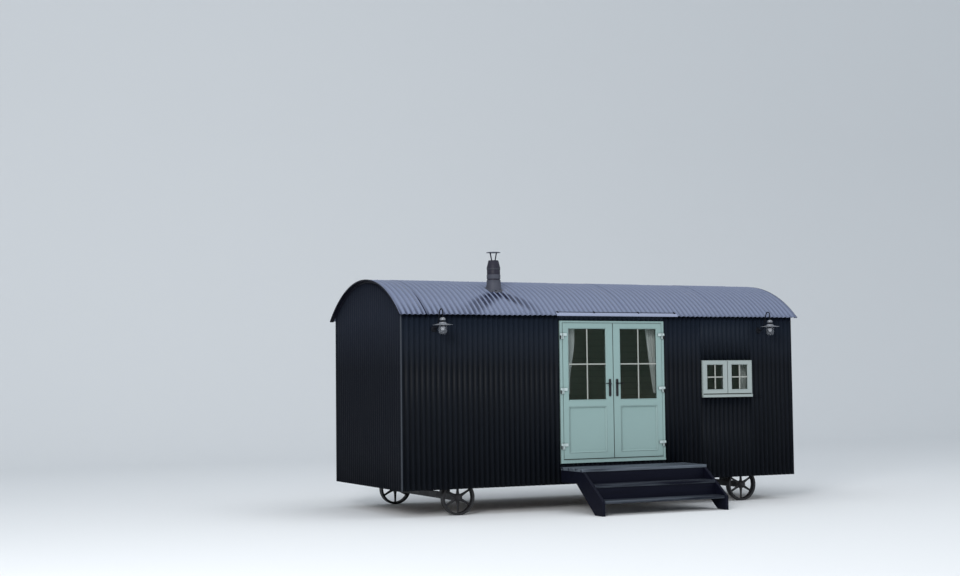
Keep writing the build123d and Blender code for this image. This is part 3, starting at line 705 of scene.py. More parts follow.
class HUT_OT_roof_sheets(bpy.types.Operator):
    """Curved corrugated sheets of the roof, lapped side by side"""

    bl_idname = "hut.roof_sheets"
    bl_label = "Roof sheets"

    def execute(self, context):
        sizes = context.scene.hut_sizes
        colours = context.scene.hut_colours
        trough = LEFT + sizes.first_trough
        start, end = ROOF_LOW.x, ROOF_HIGH.x
        edges = [start, *np.arange(start + sizes.first_cover, end, sizes.sheet_cover), end]
        overlap = sizes.pitch * 0.55
        # The roof takes painted shade in its troughs, a sooty stain by the flue and a painted shadow line
        # along the first lap seam.
        soot_and_lap_shadow = (middle_of("flue_pipe").x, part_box("flue_pipe")[0].y, colours.soot_and_lap_shadow, edges[1] - overlap)
        steel = sheet_paint("roof_sheet_paint", colours.roof, 1.12, colours.roof_dust, 0.5, 0.15,
                            ("X", trough, sizes.pitch, 0.45), soot_and_lap_shadow)
        angles = np.linspace(-EAVE_ANGLE, EAVE_ANGLE, 41)
        parts = []
        for number, (low, high) in enumerate(zip(edges, edges[1:])):
            upper = number % 2
            lap = overlap if upper else 0
            x0 = max(start, low - lap)
            x1 = min(end, high + lap)
            drop = 0.0003 if upper else 0.0003 + sizes.lap_step

            def place(x, angle, drop=drop):
                """On the arc of radius r = roof radius - drop - wave(x) * roof wave."""
                radius = ROOF_RADIUS - drop - wave(x, sizes, trough) * ROOF_WAVE
                return np.stack([x, *on_arc(radius, angle)], 2)

            parts.append(sheet_surface(steps_of(x0, x1, sizes.pitch / 8), angles, place))
        piece("roof_sheets", joined(parts), steel, ["roof_sheet"], closed=False,
              gauge=sizes.gauge)

        outline = [(0, 0.0036), (0.004, 0.0036), (0.0055, 0.0016), (0.0085, 0.001), (0.0085, -0.001)]
        points, faces = turned(outline, (0, 0, 0), 8)
        crests = trough + sizes.pitch * (np.arange(0, 82, 3) + 0.5)
        crests = crests[(crests > start + 0.03) & (crests < end - 0.03)]
        parts = []
        for share in (-0.955, -0.48, 0.0, 0.48, 0.955):
            angle = share * EAVE_ANGLE
            rows = [(x, *on_arc(ROOF_RADIUS, angle)) for x in crests
                    if share > -0.9 or not FRAME_LOW.x - 0.1 < x < FRAME_HIGH.x + 0.21]
            parts.append(dotted((leaned(points, angle), faces), rows))
        piece("roof_screws", joined(parts), steel)
        return {"FINISHED"}


class HUT_OT_trims(bpy.types.Operator):
    """Caps on the roof's ends, strips under them, corner angles and the drip strip over the doors"""

    bl_idname = "hut.trims"
    bl_label = "Trims"

    def execute(self, context):
        colours = context.scene.hut_colours
        dark = metal_paint("verge_paint", colours.verge, shade(colours.verge, 1.5), 0.5, gloss=0.06)

        def curved_bar(section, reach=EAVE_ANGLE):
            """A closed section of (x, radius) carried round the roof's arc."""
            count = len(section)
            section = np.array(section, float)
            turn = np.linspace(-reach, reach, 61)[:, None]
            x = np.broadcast_to(section[None, :, 0], (len(turn), count))
            points = np.stack([x, *on_arc(section[None, :, 1], turn)], 2).reshape(-1, 3)
            faces = quads(len(turn), count, close_columns=True).tolist()
            faces += [list(range(count)), list(range(len(points) - 1, len(points) - 1 - count, -1))]
            return points, faces

        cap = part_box("verge_trims")
        foot = ROOF_RADIUS - 0.022
        parts = []
        for side, outer, top in ((-1, cap[0].x, ROOF_RADIUS - 0.0012), (1, cap[1].x, ROOF_RADIUS - 0.0075)):
            section = [(0, foot), (0, top - 0.002), (0.0015, top), (0.004, top), (0.004, foot + 0.003),
                       (0.011, foot + 0.002), (0.011, foot)]
            parts.append(curved_bar([(outer - side * inward, radius) for inward, radius in section]))
        piece("verge_caps", joined(parts), dark, ["verge_trims"], smooth=30)
        under = ROOF_RADIUS - 0.0195
        wall_reach = math.asin((REAR - FRONT) / 2 / under)
        sides = ((LEFT, LEFT - 0.006, cap[0].x + 0.003), (RIGHT, RIGHT + 0.006, cap[1].x - 0.003))
        strips = [curved_bar([(wall, under - 0.030), (face, under - 0.027), (face, under), (wall, under)],
                             wall_reach) for wall, face, _ in sides]
        strips += [curved_bar([(wall, under - 0.0015), (end, under - 0.0015), (end, under), (wall, under)])
                   for wall, _, end in sides]
        piece("gable_strips", joined(strips), dark, smooth=30)

        low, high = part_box("corner_trims")
        width = 0.014
        fold = np.array([(0, width), (0, 0.004), (0.0012, 0.0012), (0.004, 0), (width, 0), (width, 0.002),
                         (0.004, 0.002), (0.002, 0.004), (0.002, width)])
        top = float(arc_height(FRONT, UNDER_ROOF)) - 0.004
        parts = {}
        for x, sx in ((low.x, 1), (high.x, -1)):
            for y, sy in ((low.y, 1), (high.y, -1)):
                outline = np.array([x, y]) + fold * np.array([sx, sy])
                parts[(sx, sy)] = prism(outline, low.z, top, "z")
        # Only the front left angle takes this paler finish; the other three take the dark verge paint.
        pale = metal_paint("corner_angle_metal", colours.corner, shade(colours.corner, 1.8), 0.45, 0.2)
        piece("front_left_corner_angle", parts.pop((1, 1)), pale, ["corner_trims"], smooth=25)
        piece("corner_angles", joined(list(parts.values())), dark, smooth=25)

        low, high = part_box("eave_flashing")
        strip_paint = sheet_paint("drip_strip_paint", colours.strip, 1.1, colours.roof_dust, 0.4, 0.3)
        tilt = -EAVE_ANGLE + 0.0285
        reach = np.linspace(-EAVE_ANGLE, tilt, 5)
        upper = np.stack(on_arc(ROOF_RADIUS + 0.0028, reach[::-1]), 1)
        lip = np.array([(low.y + 0.0006, EAVE - 0.001), (low.y + 0.0001, low.z + 0.0015),
                        (low.y + 0.0025, low.z), (low.y + 0.0025, EAVE - 0.004)])
        lower = np.stack(on_arc(ROOF_RADIUS + 0.0008, reach), 1)
        section = np.concatenate([upper, lip, lower])
        piece("drip_strip", prism(section, low.x, high.x, "x"), strip_paint, ["eave_flashing"],
              smooth=30)
        centre = np.array([0, *on_arc(ROOF_RADIUS + 0.003, tilt)])
        points, faces = prism(rounded_box(-0.012, 0.012, -0.018, 0.018, 0.006), -0.001, 0.004, "z")
        clip = [(leaned(points, tilt) + centre + np.array([x, 0, 0]), faces)
                for x in (low.x + 0.03, low.x + 0.595, low.x + 1.303, high.x - 0.034)]
        points, faces = prism(rounded_box(-0.006, 0.006, -0.001, 0.0035, 0.002), low.x, high.x, "x")
        clip.append((leaned(points, tilt) + centre, faces))
        piece("drip_strip_clips", joined(clip), dark, smooth=35)
        return {"FINISHED"}


class HUT_OT_door_frame(bpy.types.Operator):
    """Frame of the doorway with its sill"""

    bl_idname = "hut.door_frame"
    bl_label = "Door frame"

    def execute(self, context):
        colours = context.scene.hut_colours
        sage = satin_paint("joinery_paint", colours.sage, colours.sage_light, colours.dirt_and_shade)
        low, high = FRAME_LOW, FRAME_HIGH
        sill_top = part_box("door_threshold")[1].z
        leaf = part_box("left_door_leaf")
        gap = 0.006
        jamb = leaf[0].x - gap - low.x
        hole = (low.x + jamb, high.x - jamb, sill_top, leaf[1].z + gap)
        rebate = [(0, 0), (0.0008, 0.011), (0.0035, 0.0115), (0.0035, 0.044), (0.018, 0.0445), (0.018, 0.05)]
        board = joinery(low.x, high.x, low.z, high.z, low.y, high.y, 0.004,
                        [(hole, rebate, [(0, 0), (0.018, 0.001)], False)])
        nose = low.y - 0.009
        sill = [(nose, low.z + 0.004), (nose + 0.001, sill_top - 0.020), (low.y + 0.004, sill_top - 0.012),
                (low.y + 0.004, low.z + 0.002)]
        ledge = prism(sill, low.x + 0.002, high.x - 0.002, "x")
        piece("door_frame_and_sill", joined([board, ledge]), sage,
              ["door_frame", "door_threshold"], smooth=30)
        return {"FINISHED"}


def crossed_bars(x0, x1, z0, z1, y_face, y_back, width):
    """An upright and a level bar with rounded fronts across a pane."""
    cx = (x0 + x1) / 2
    cz = (z0 + z1) / 2
    half = width / 2
    rise = 0.0025
    level_face = y_face + 0.0003
    upright = [(cx - half, y_back), (cx - half, y_face + rise), (cx - half + rise, y_face),
               (cx + half - rise, y_face), (cx + half, y_face + rise), (cx + half, y_back)]
    level = [(y_back, cz - half), (y_face + rise, cz - half), (level_face, cz - half + rise),
             (level_face, cz + half - rise), (y_face + rise, cz + half), (y_back, cz + half)]
    return joined([prism(upright, z0, z1, "z"), prism(level, x0, x1, "x")])


class HUT_OT_door_leaves(bpy.types.Operator):
    """The two leaves with their beads, panels, bars and glass"""

    bl_idname = "hut.door_leaves"
    bl_label = "Door leaves"

    def execute(self, context):
        sizes = context.scene.hut_sizes
        colours = context.scene.hut_colours
        sage = bpy.data.materials["joinery_paint"]
        pale = satin_paint("bar_paint", colours.bars, shade(colours.bars, 1.2), colours.dirt_and_shade, 0.35)
        clear = pane("door_pane", colours.glass, 0.22)
        bead = sizes.bead
        for side in ("left", "right"):
            low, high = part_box(f"{side}_door_leaf")
            glass_low, glass_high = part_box(f"{side}_door_glass")
            glass_hole = (glass_low.x - bead, glass_high.x + bead, glass_low.z - bead, glass_high.z + bead)
            panel_hole = (glass_low.x - 0.006, glass_high.x + 0.006, low.z + 0.079, glass_low.z - 0.094)
            beads = [(0, 0), (0.0012, -0.0018), (0.0045, -0.0024), (0.008, 0.0005), (bead - 0.002, 0.0045),
                     (bead, 0.0085), (bead, 0.012)]
            sunk = [(0, 0), (0.0008, 0.0025), (0.0030, 0.0025), (0.0038, -0.0035), (0.0080, -0.0040),
                    (0.0120, -0.001), (0.0220, 0.0105), (0.026, 0.011)]
            board = joinery(low.x, high.x, low.z, high.z, low.y, high.y, 0.003,
                            [(glass_hole, beads, beads, False), (panel_hole, sunk, sunk, True)])
            piece(f"{side}_leaf", board, sage, [f"{side}_door_leaf"], f"{side}_door", smooth=28)
            bars = crossed_bars(glass_low.x + 0.001, glass_high.x - 0.001, glass_low.z + 0.001,
                                glass_high.z - 0.001, low.y + 0.0035, glass_low.y - 0.0002, sizes.bar)
            piece(f"{side}_leaf_bars", bars, pale, (), f"{side}_door", smooth=28)
            paint_nodes(clear, f"{side}_door_glass")
        return {"FINISHED"}


class HUT_OT_door_furniture(bpy.types.Operator):
    """Hinges, long plates and levers of the doors"""

    bl_idname = "hut.door_furniture"
    bl_label = "Door furniture"

    def execute(self, context):
        sizes = context.scene.hut_sizes
        colours = context.scene.hut_colours
        black = metal_paint("furniture_paint", colours.hardware, (0.10, 0.10, 0.11), 0.35)
        pale = satin_paint("hinge_paint", colours.hinge, shade(colours.hinge, 1.2), colours.dirt_and_shade, 0.32)
        half = sizes.strap / 2
        reach = half + 0.0002
        barrel = [(0, -half), (0.0072, -half), (0.008, 0.001 - half), (0.008, half - 0.002), (0.0065, half),
                  (0, half)]
        hook = [(0, 0.020), (0.0085, 0.020), (0.0095, 0.016), (0.0095, -0.014), (0.006, -0.028), (0, -0.030)]
        jamb_pale = []
        jamb_black = []

        def strap(ends, middle, radius, front, back):
            """A flat strap with rounded corners, from one x to another about a height."""
            x0, x1 = sorted(ends)
            return prism(rounded_box(x0, x1, middle - half, middle + half, radius), front, back, "y")

        for side, turn in (("left", -1), ("right", 1)):
            x, y = axis_of(f"{side}_door_swing")[:2]
            leaf_low, leaf_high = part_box(f"{side}_door_leaf")
            low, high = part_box(f"{side}_door_hinges")
            on_leaf, on_jamb = leaf_low.y + 0.0005, FRAME_LOW.y + 0.0005
            edge_x = FRAME_LOW.x if turn < 0 else FRAME_HIGH.x
            hook_x = FRAME_LOW.x + 0.004 if turn < 0 else FRAME_HIGH.x - 0.013
            leaf_parts = []
            for z in (low.z + half, (leaf_low.z + leaf_high.z) / 2 + reach, high.z - half):
                lower = z - 2 * reach
                leaf_parts.append(turned(barrel, (x, y, z), 20))
                leaf_parts.append(strap((x + turn * 0.006, x - turn * 0.062), z, 0.010, y + 0.001, on_leaf))
                jamb_pale.append(turned([(r, -h) for r, h in barrel], (x, y, lower), 20))
                jamb_pale.append(strap((x, x + turn * 0.030), lower, 0.004, y + 0.006, on_jamb))
                jamb_pale.append(strap((x + turn * 0.0105, edge_x), z, 0.010, y + 0.001, on_jamb))
                jamb_black.append(turned(hook, (hook_x, y + 0.006, z - half - 0.012), 16))
            piece(f"{side}_leaf_hinges", joined(leaf_parts), pale, [f"{side}_door_hinges"],
                  f"{side}_door", bevel=0.0015)
            self.lever(side, turn, black)
        piece("jamb_hinges", joined(jamb_pale), pale, ["hinge_brackets"], bevel=0.0015)
        piece("jamb_hinge_hooks", joined(jamb_black), black)
        return {"FINISHED"}

    def lever(self, side, turn, black):
        """The long plate with its keyhole, and the lever, a bar that leaves the plate and bends sideways."""
        low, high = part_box(f"{side}_door_plate")
        x = (low.x + high.x) / 2
        pivot_z = axis_of(f"{side}_lever_turn")[2]
        key_z = pivot_z - 0.092
        round_end = (high.x - low.x) / 2 - 0.001
        plate = prism(rounded_box(low.x, high.x, low.z, high.z, round_end, 8), low.y, high.y, "y")
        cylinder = [(0, 0.0035), (0.0075, 0.0035), (0.0085, 0.0025), (0.0085, -0.002)]
        barrel = turned(cylinder, (x, low.y, key_z), 20, "y")
        blade = prism(rounded_box(x - 0.004, x + 0.004, key_z - 0.026, key_z, 0.0035), low.y - 0.0035,
                      low.y + 0.002, "y")
        head = [(0, 0.001), (0.003, 0.001), (0.004, 0), (0.004, -0.002)]
        screws = [turned(head, (x, low.y, z), 12, "y") for z in (low.z + 0.016, high.z - 0.016)]
        piece(f"{side}_long_plate", joined([plate, barrel, blade] + screws), black,
              [f"{side}_door_plate"], f"{side}_door", smooth=35, bevel=0.0012)

        low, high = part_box(f"{side}_door_lever")
        end_x = low.x + 0.004 if turn < 0 else high.x - 0.004
        out = low.y + 0.0085
        bend = 0.016
        arc = np.linspace(0, math.pi / 2, 7)
        neck_y = np.linspace(high.y - 0.0002, out + bend, 5)[:-1]
        grip_x = np.linspace(x + turn * bend, end_x, 9)[1:]
        along = np.concatenate([np.full(4, x), x + turn * bend * (1 - np.cos(arc)), grip_x])
        away = np.concatenate([neck_y, out + bend * (1 - np.sin(arc)), np.full(8, out)])
        radius = np.concatenate([np.full(4, 0.0085), np.linspace(0.0085, 0.0075, 7),
                                 np.linspace(0.0075, 0.0072, 7), [0.0035]])
        bar = tube(np.stack([along, away, np.full(19, pivot_z)], 1), radius, (0, 0, 1), 16)
        piece(f"{side}_lever_bar", bar, black, [f"{side}_door_lever"], f"{side}_lever",
              smooth=50)


class HUT_OT_window(bpy.types.Operator):
    """The window with its two sashes, bars, sill and the flashing below"""

    bl_idname = "hut.window"
    bl_label = "Window"

    def execute(self, context):
        sizes = context.scene.hut_sizes
        colours = context.scene.hut_colours
        sage = satin_paint("window_paint", colours.window, shade(colours.window, 1.25), colours.dirt_and_shade)
        pale = bpy.data.materials["bar_paint"]
        clear = pane("window_pane", colours.glass, 0.22)
        low, high = WINDOW_LOW, WINDOW_HIGH
        sash_low, sash_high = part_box("window_casements")
        glass_low, glass_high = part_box("window_glass")
        sill_low, sill_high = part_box("window_sill")
        front_hole = (low.x + 0.010, high.x - 0.010, sill_high.z, high.z - 0.010)
        frame_surface = joinery(low.x, high.x, low.z, high.z, low.y, high.y, 0.003,
                                [(front_hole, [(0, 0), (0, 0.045)], [(0, 0), (0, 0.002)], False)])
        sill = [(sill_low.y, low.z + 0.003), (sill_low.y, sill_high.z - 0.012),
                (sill_low.y + 0.002, sill_high.z - 0.010), (low.y + 0.001, sill_high.z - 0.001),
                (low.y + 0.001, low.z + 0.001), (sill_low.y + 0.004, low.z + 0.001)]
        board = prism(sill, low.x + 0.0005, high.x - 0.0005, "x")
        piece("window_frame_and_sill", joined([frame_surface, board]), sage,
              ["window_frame", "window_sill"], smooth=30)
        seam = (sash_low.x + sash_high.x) / 2
        stile = glass_low.x - sash_low.x
        bead = sizes.bead
        profile = [(0, 0), (0.0012, -0.0015), (0.005, -0.002), (0.009, 0.001), (bead, 0.009), (bead, 0.014)]
        sashes = []
        bars = []
        for x0, x1 in ((sash_low.x, seam - 0.004), (seam + 0.004, sash_high.x)):
            gx0, gx1 = x0 + stile, x1 - stile
            hole = (gx0 - bead, gx1 + bead, glass_low.z - bead, glass_high.z + bead)
            sashes.append(joinery(x0, x1, sash_low.z, sash_high.z, sash_low.y, sash_high.y, 0.003,
                                  [(hole, profile, profile, False)]))
            bars.append(crossed_bars(gx0 + 0.001, gx1 - 0.001, glass_low.z + 0.001, glass_high.z - 0.001,
                                     sash_low.y + 0.004, glass_low.y - 0.0002, sizes.bar))
        piece("window_sashes", joined(sashes), sage, ["window_casements"], smooth=28)
        piece("window_bars", joined(bars), pale, smooth=28)
        paint_nodes(clear, "window_glass")
        dark = bpy.data.materials["verge_paint"]
        fold = np.array([(-0.012, -0.006), (-0.011, -0.0015), (0.014, -0.0005), (0.014, -0.003),
                         (-0.0095, -0.004), (-0.0105, -0.006)])
        drip = prism(fold + np.array([FRONT, low.z]), low.x - 0.025, high.x + 0.19, "x")
        piece("window_drip", drip, dark, smooth=30)
        return {"FINISHED"}


class HUT_OT_lamps(bpy.types.Operator):
    """Swan neck lamps with their shades, jars and bulbs"""

    bl_idname = "hut.lamps"
    bl_label = "Lamps"

    def execute(self, context):
        sizes = context.scene.hut_sizes
        colours = context.scene.hut_colours
        dark = metal_paint("swan_neck_paint", colours.lamp, shade(colours.lamp, 1.3), 0.5, gloss=0.08)
        tin = metal_paint("shade_paint", colours.shade, shade(colours.shade, 1.8), 0.33, 0.35)
        jar_glass = pane("jar_glass", colours.jar, 0.25, 0.22)
        white = metal_paint("bulb_glaze", colours.bulb, shade(colours.bulb, 1.1), 0.25)
        low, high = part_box("lamp_shades")
        jar_low, jar_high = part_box("lamp_globes")
        neck_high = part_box("lamp_brackets")[1].z - 0.008
        y = middle_of("lamp_shades").y
        rim = jar_high.z
        height = jar_high.z - jar_low.z
        arm_y, plate_z = FRONT - 0.135, 2.450
        bend, hoop = 0.060, 0.046
        top = neck_high - hoop
        quarter = np.linspace(0, math.pi / 2, 9)
        turn = np.linspace(0.35, math.pi, 17)
        rise = np.stack([arm_y + bend * (1 - np.sin(quarter)), plate_z + bend * (1 - np.cos(quarter))], 1)
        over = np.stack([y + hoop + hoop * np.cos(turn), top + hoop * np.sin(turn)], 1)
        neck = np.concatenate([[(FRONT - 0.010, plate_z), (arm_y + bend + 0.002, plate_z)], rise, over,
                               [(y, top - 0.02), (y, rim + 0.085)]])
        wall_plate = [(0, 0.014), (0.012, 0.014), (0.020, 0.010), (0.036, 0.007), (0.041, 0.004), (0.042, 0),
                      (0.042, -0.004), (0, -0.004)]
        stem = [(0, 0.056), (0.0165, 0.056), (0.0165, 0.026), (0, 0.026)]
        holder = [(0, 0.016), (0.022, 0.016), (0.022, -0.004), (0.017, -0.008), (0.017, -0.030), (0, -0.030)]
        dome = [(0, 0.090), (0.012, 0.090), (0.022, 0.087), (0.031, 0.080), (0.0365, 0.070), (0.038, 0.058),
                (0.036, 0.053), (0, 0.052)]
        shade_outline = [(0, 0.030), (0.030, 0.030), (0.042, 0.027), (0.047, 0.021), (0.048, 0.013),
                         (0.054, 0.009), (0.095, 0.0005), (0.126, -0.0050), (0.1295, -0.0045),
                         (0.1320, -0.0065), (0.1305, -0.0090), (0.1265, -0.0088), (0.095, -0.0030),
                         (0.058, 0.004), (0.046, 0.008), (0.044, 0.018), (0, 0.020)]
        outer = 0.0565
        jar = [(outer * math.sin(a), -height + 0.036 * (1 - math.cos(a))) for a in quarter]
        jar += [(outer, -0.03), (outer * 0.97, -0.012), (outer * 0.80, -0.002), (outer * 0.80, 0.004)]
        bulb = [(0, -0.028), (0.018, -0.028), (0.025, -0.036), (0.0265, -0.052), (0.023, -0.068),
                (0.013, -0.078), (0, -0.080)]
        arms = []
        shades = []
        jars = []
        bulbs = []
        for x in (low.x + LAMP_RADIUS, high.x - LAMP_RADIUS):
            middle = (x, y, rim)
            arms.append(tube(np.insert(neck, 0, x, axis=1), sizes.neck, (1, 0, 0), 14))
            arms.append(turned(wall_plate, (x, FRONT - 0.0005, plate_z), 32, "y"))
            arms += [turned(stem, middle, 24), turned(holder, middle, 24)]
            shades += [turned(dome, middle, 32), turned(shade_outline, middle, 48)]
            jars.append(turned(jar, middle, 32))
            bulbs.append(turned(bulb, middle, 24))
        piece("lamp_swan_necks", joined(arms), dark, ["lamp_brackets"], smooth=50)
        piece("lamp_shades_and_caps", joined(shades), tin, ["lamp_shades"], smooth=45)
        piece("lamp_jars", joined(jars), jar_glass, ["lamp_globes"], closed=False, smooth=60,
              gauge=0.002)
        piece("lamp_bulbs", joined(bulbs), white, smooth=60)
        return {"FINISHED"}


class HUT_OT_flue(bpy.types.Operator):
    """The flue with its collar, bands and rain cap"""

    bl_idname = "hut.flue"
    bl_label = "Flue"

    def execute(self, context):
        sizes = context.scene.hut_sizes
        colours = context.scene.hut_colours
        dark, mid = colours.flue_black, colours.flue_grey
        black = metal_paint("flue_paint", dark, shade(dark, 2), 0.55, gloss=0.2)
        grey = metal_paint("flue_collar_paint", mid, shade(mid, 1.4), 0.55, gloss=0.2)
        seam = metal_paint("flue_seam_paint", shade(mid, 0.6), mid, 0.55, gloss=0.2)
        x, y = middle_of("flue_pipe")[:2]
        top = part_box("flue_cowl")[1].z
        base = float(arc_height(y, ROOF_RADIUS))
        middle = (x, y, base)
        collar = turned([(0.102, -0.030), (0.102, 0.010), (0.098, 0.060), (0.096, 0.104), (0.0975, 0.108),
                         (0.0975, 0.112), (0.086, 0.113), (0.086, -0.030), (0.102, -0.030)], middle, 48)
        angle = np.linspace(0, 2 * np.pi, 96, endpoint=False)
        trough = LEFT + sizes.first_trough
        spread = ((0.101, 0.020), (0.106, 0.006), (0.112, 0.0035), (0.118, 0.002), (0.119, -0.003))
        rings = []
        for radius, lift in spread:
            px = x + radius * np.cos(angle)
            py = y + radius * np.sin(angle)
            dip = wave(px, sizes, trough) * ROOF_WAVE
            rings.append(np.stack([px, py, arc_height(py, ROOF_RADIUS) - dip + lift], 1))
        skirt = (np.concatenate(rings), quads(len(rings), len(angle), close_columns=True))
        piece("flue_collar", collar, grey, ["flue_flashing"], smooth=40)
        piece("flue_skirt", skirt, grey, closed=False, smooth=50, gauge=0.002)

        mouth = 0.387
        lower = [(0, 0.131), (0.090, 0.131), (0.092, 0.133)]
        for number in range(4):
            z = 0.134 + number * 0.0138
            lower += [(0.0925, z + 0.001), (0.0950, z + 0.005), (0.0950, z + 0.009), (0.0925, z + 0.013)]
        lower += [(0.091, 0.190), (0, 0.190)]
        piece("flue_ribbed_ring", turned(lower, middle, 48), grey, smooth=45)
        band = [(0, 0.110), (0.088, 0.110), (0.088, 0.188), (0.0900, 0.190), (0.0905, 0.194), (0.0905, 0.254),
                (0.089, 0.257), (0, 0.257)]
        piece("flue_black_band", turned(band, middle, 48), black, ["flue_pipe"], smooth=35)
        ring = [(0, 0.256), (0.092, 0.256), (0.0935, 0.259), (0.0935, 0.276), (0.092, 0.279), (0, 0.279)]
        piece("flue_narrow_ring", turned(ring, middle, 48), seam, smooth=35)
        well = mouth - 0.02
        cone = [(0, 0.278), (0.091, 0.278), (0.094, 0.281), (0.0935, 0.286), (0.070, mouth - 0.006),
                (0.068, mouth - 0.003), (0.068, mouth), (0.064, mouth), (0.064, well), (0, well)]
        cowl = [turned(cone, middle, 48)]
        for number in range(4):
            turn = math.pi / 2 * (number + 0.5) - CAMERA_YAW
            ray = np.array([math.cos(turn), math.sin(turn), 0])
            start = ray * 0.030 + np.array([x, y, base + mouth - 0.018])
            end = ray * 0.061 + np.array([x, y, top - 0.010])
            path = start + (end - start) * np.linspace(0, 1, 4)[:, None]
            cowl.append(tube(path, 0.0085, (-ray[1], ray[0], 0), 10))
        piece("flue_cone_and_legs", joined(cowl), black, smooth=40)
        cap = [(0, top), (0.040, top - 0.001), (0.085, top - 0.005), (0.099, top - 0.009),
               (0.100, top - 0.013), (0.097, top - 0.013), (0.080, top - 0.009), (0, top - 0.006)]
        pale = metal_paint("rain_cap_paint", shade(mid, 1.5), shade(mid, 2.2), 0.4)
        piece("flue_rain_cap", turned(cap, (x, y, 0), 48), pale, ["flue_cowl"], smooth=45)
        return {"FINISHED"}


class HUT_OT_steps(bpy.types.Operator):
    """Boarded landing and treads, and stained risers and stringers"""

    bl_idname = "hut.steps"
    bl_label = "Steps"

    def execute(self, context):
        sizes = context.scene.hut_sizes
        colours = context.scene.hut_colours
        grain = (3, 60, 60)
        stain, worn = colours.step, colours.step_worn
        landing = timber("landing_stain", stain, shade(stain, 3), worn, grain, 0.9)
        tread = timber("tread_stain", stain, shade(stain, 2), shade(worn, 0.8), grain, 0.65, bare=0.43)
        side = timber("riser_stain", stain, shade(stain, 1.4), shade(stain, 3), grain, 0.25)
        low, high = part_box("step_landing")
        across_landing = max(1, round((high.y - low.y) / sizes.board))
        gap = 0.002
        to_riser = 0.040  # the middle tread's solid ends short of the riser behind it
        for name, node, count, behind, finish in (
            ("landing_boards", "step_landing", across_landing, 0, landing),
            ("middle_tread_boards", "step_tread_middle", 2, to_riser, tread),
            ("lower_tread_boards", "step_tread_lower", 2, 0, tread),
        ):
            low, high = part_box(node)
            width = (high.y - low.y) / count
            boards = []
            for number in range(count):
                front = low.y + width * number + (gap if number else 0)
                back = low.y + width * (number + 1) + (behind if number == count - 1 else -gap)
                boards.append(plank((low.x, front, low.z), (high.x, back, high.z), 0.004))
            piece(name, joined(boards), finish, [node], smooth=50)
        paint_nodes(side, "step_risers", "step_stringers")
        return {"FINISHED"}


class HUT_OT_running_gear(bpy.types.Operator):
    """Cast wheels, axles and chassis"""

    bl_idname = "hut.running_gear"
    bl_label = "Wheels and chassis"

    def execute(self, context):
        colours = context.scene.hut_colours
        iron = metal_paint("wheel_iron", colours.iron, (0.06, 0.045, 0.035), 0.5, 0.1)
        steel = metal_paint("chassis_paint", colours.chassis, (0.06, 0.05, 0.045), 0.5)
        paint_nodes(steel, "chassis")
        for side in ("left", "right"):
            low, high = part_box(f"wheels_{side}")
            inset = RIM_HALF + HUB_PAST_RIM
            parts = []
            for y, outward in ((low.y + inset, -1), (high.y - inset, 1)):
                parts += self.wheel((low.x + high.x) / 2, y, (high.z - low.z) / 2, outward)
            piece(f"cast_wheels_{side}", joined(parts), iron, [f"wheels_{side}"], smooth=40)
        return {"FINISHED"}

    def wheel(self, x, y, radius, outward):
        """A turned rim and hub, and spokes whose oval section narrows towards the rim."""
        centre = (x, y, radius)
        flank = [(radius - 0.018, 0.006), (radius - 0.024, 0.028), (radius - 0.030, 0.038),
                 (radius - 0.004, RIM_HALF), (radius, 0.041)]
        rim = [(r, -h) for r, h in flank[2:]] + [(r, h) for r, h in reversed(flank)]
        rim += [(r, -h) for r, h in flank[:3]]
        cap = RIM_HALF + HUB_PAST_RIM
        hub = [(0, -0.045), (0.040, -0.045), (0.050, -0.040), (0.055, -0.020), (0.058, 0), (0.055, 0.020),
               (0.050, 0.036), (0.046, 0.045), (0.036, 0.047), (0.034, cap - 0.006), (0.028, cap), (0, cap)]
        if outward > 0:
            hub = [(r, -h) for r, h in hub][::-1]
        parts = [turned(rim, centre, 64, "y"), turned(hub, centre, 32, "y")]
        along = np.linspace(0.046, radius - 0.020, 8)
        share = (along - along[0]) / (along[-1] - along[0])
        half_width = 0.021 - 0.009 * share + 0.006 * (2 * share - 1) ** 4
        half_depth = 0.013 - 0.004 * share + 0.003 * (2 * share - 1) ** 4
        angle = np.arange(12) * 2 * np.pi / 12
        for number in range(6):
            turn = number * math.pi / 3 + math.pi / 6
            ray = np.array([math.cos(turn), 0, math.sin(turn)])
            side = np.array([-math.sin(turn), 0, math.cos(turn)])
            depth = np.array([0, 1, 0])
            points = (np.array(centre) + along[:, None, None] * ray
                      + (half_width[:, None] * np.cos(angle))[:, :, None] * side
                      + (half_depth[:, None] * np.sin(angle))[:, :, None] * depth)
            parts.append((points.reshape(-1, 3), quads(8, 12, close_columns=True)))
        return parts


class HUT_OT_inside(bpy.types.Operator):
    """Lining, ceiling and floor boards of the room"""

    bl_idname = "hut.inside"
    bl_label = "Inside"

    def execute(self, context):
        colours = context.scene.hut_colours
        lining = boarding("lining_boards", colours.lining, shade(colours.lining, 0.3), "Z", 0.095)
        ceiling = boarding("ceiling_boards", colours.ceiling, shade(colours.ceiling, 0.3), "Y", 0.095)
        floor = boarding("floor_boards", colours.boards, shade(colours.boards, 0.3), "Y", 0.12)
        paint_nodes(lining, "front_wall_left", "front_wall_over_door", "front_wall_right", "rear_wall",
                    "left_end_wall", "right_end_wall")
        paint_nodes(ceiling, "roof_deck")
        paint_nodes(floor, "floor_deck")
        return {"FINISHED"}


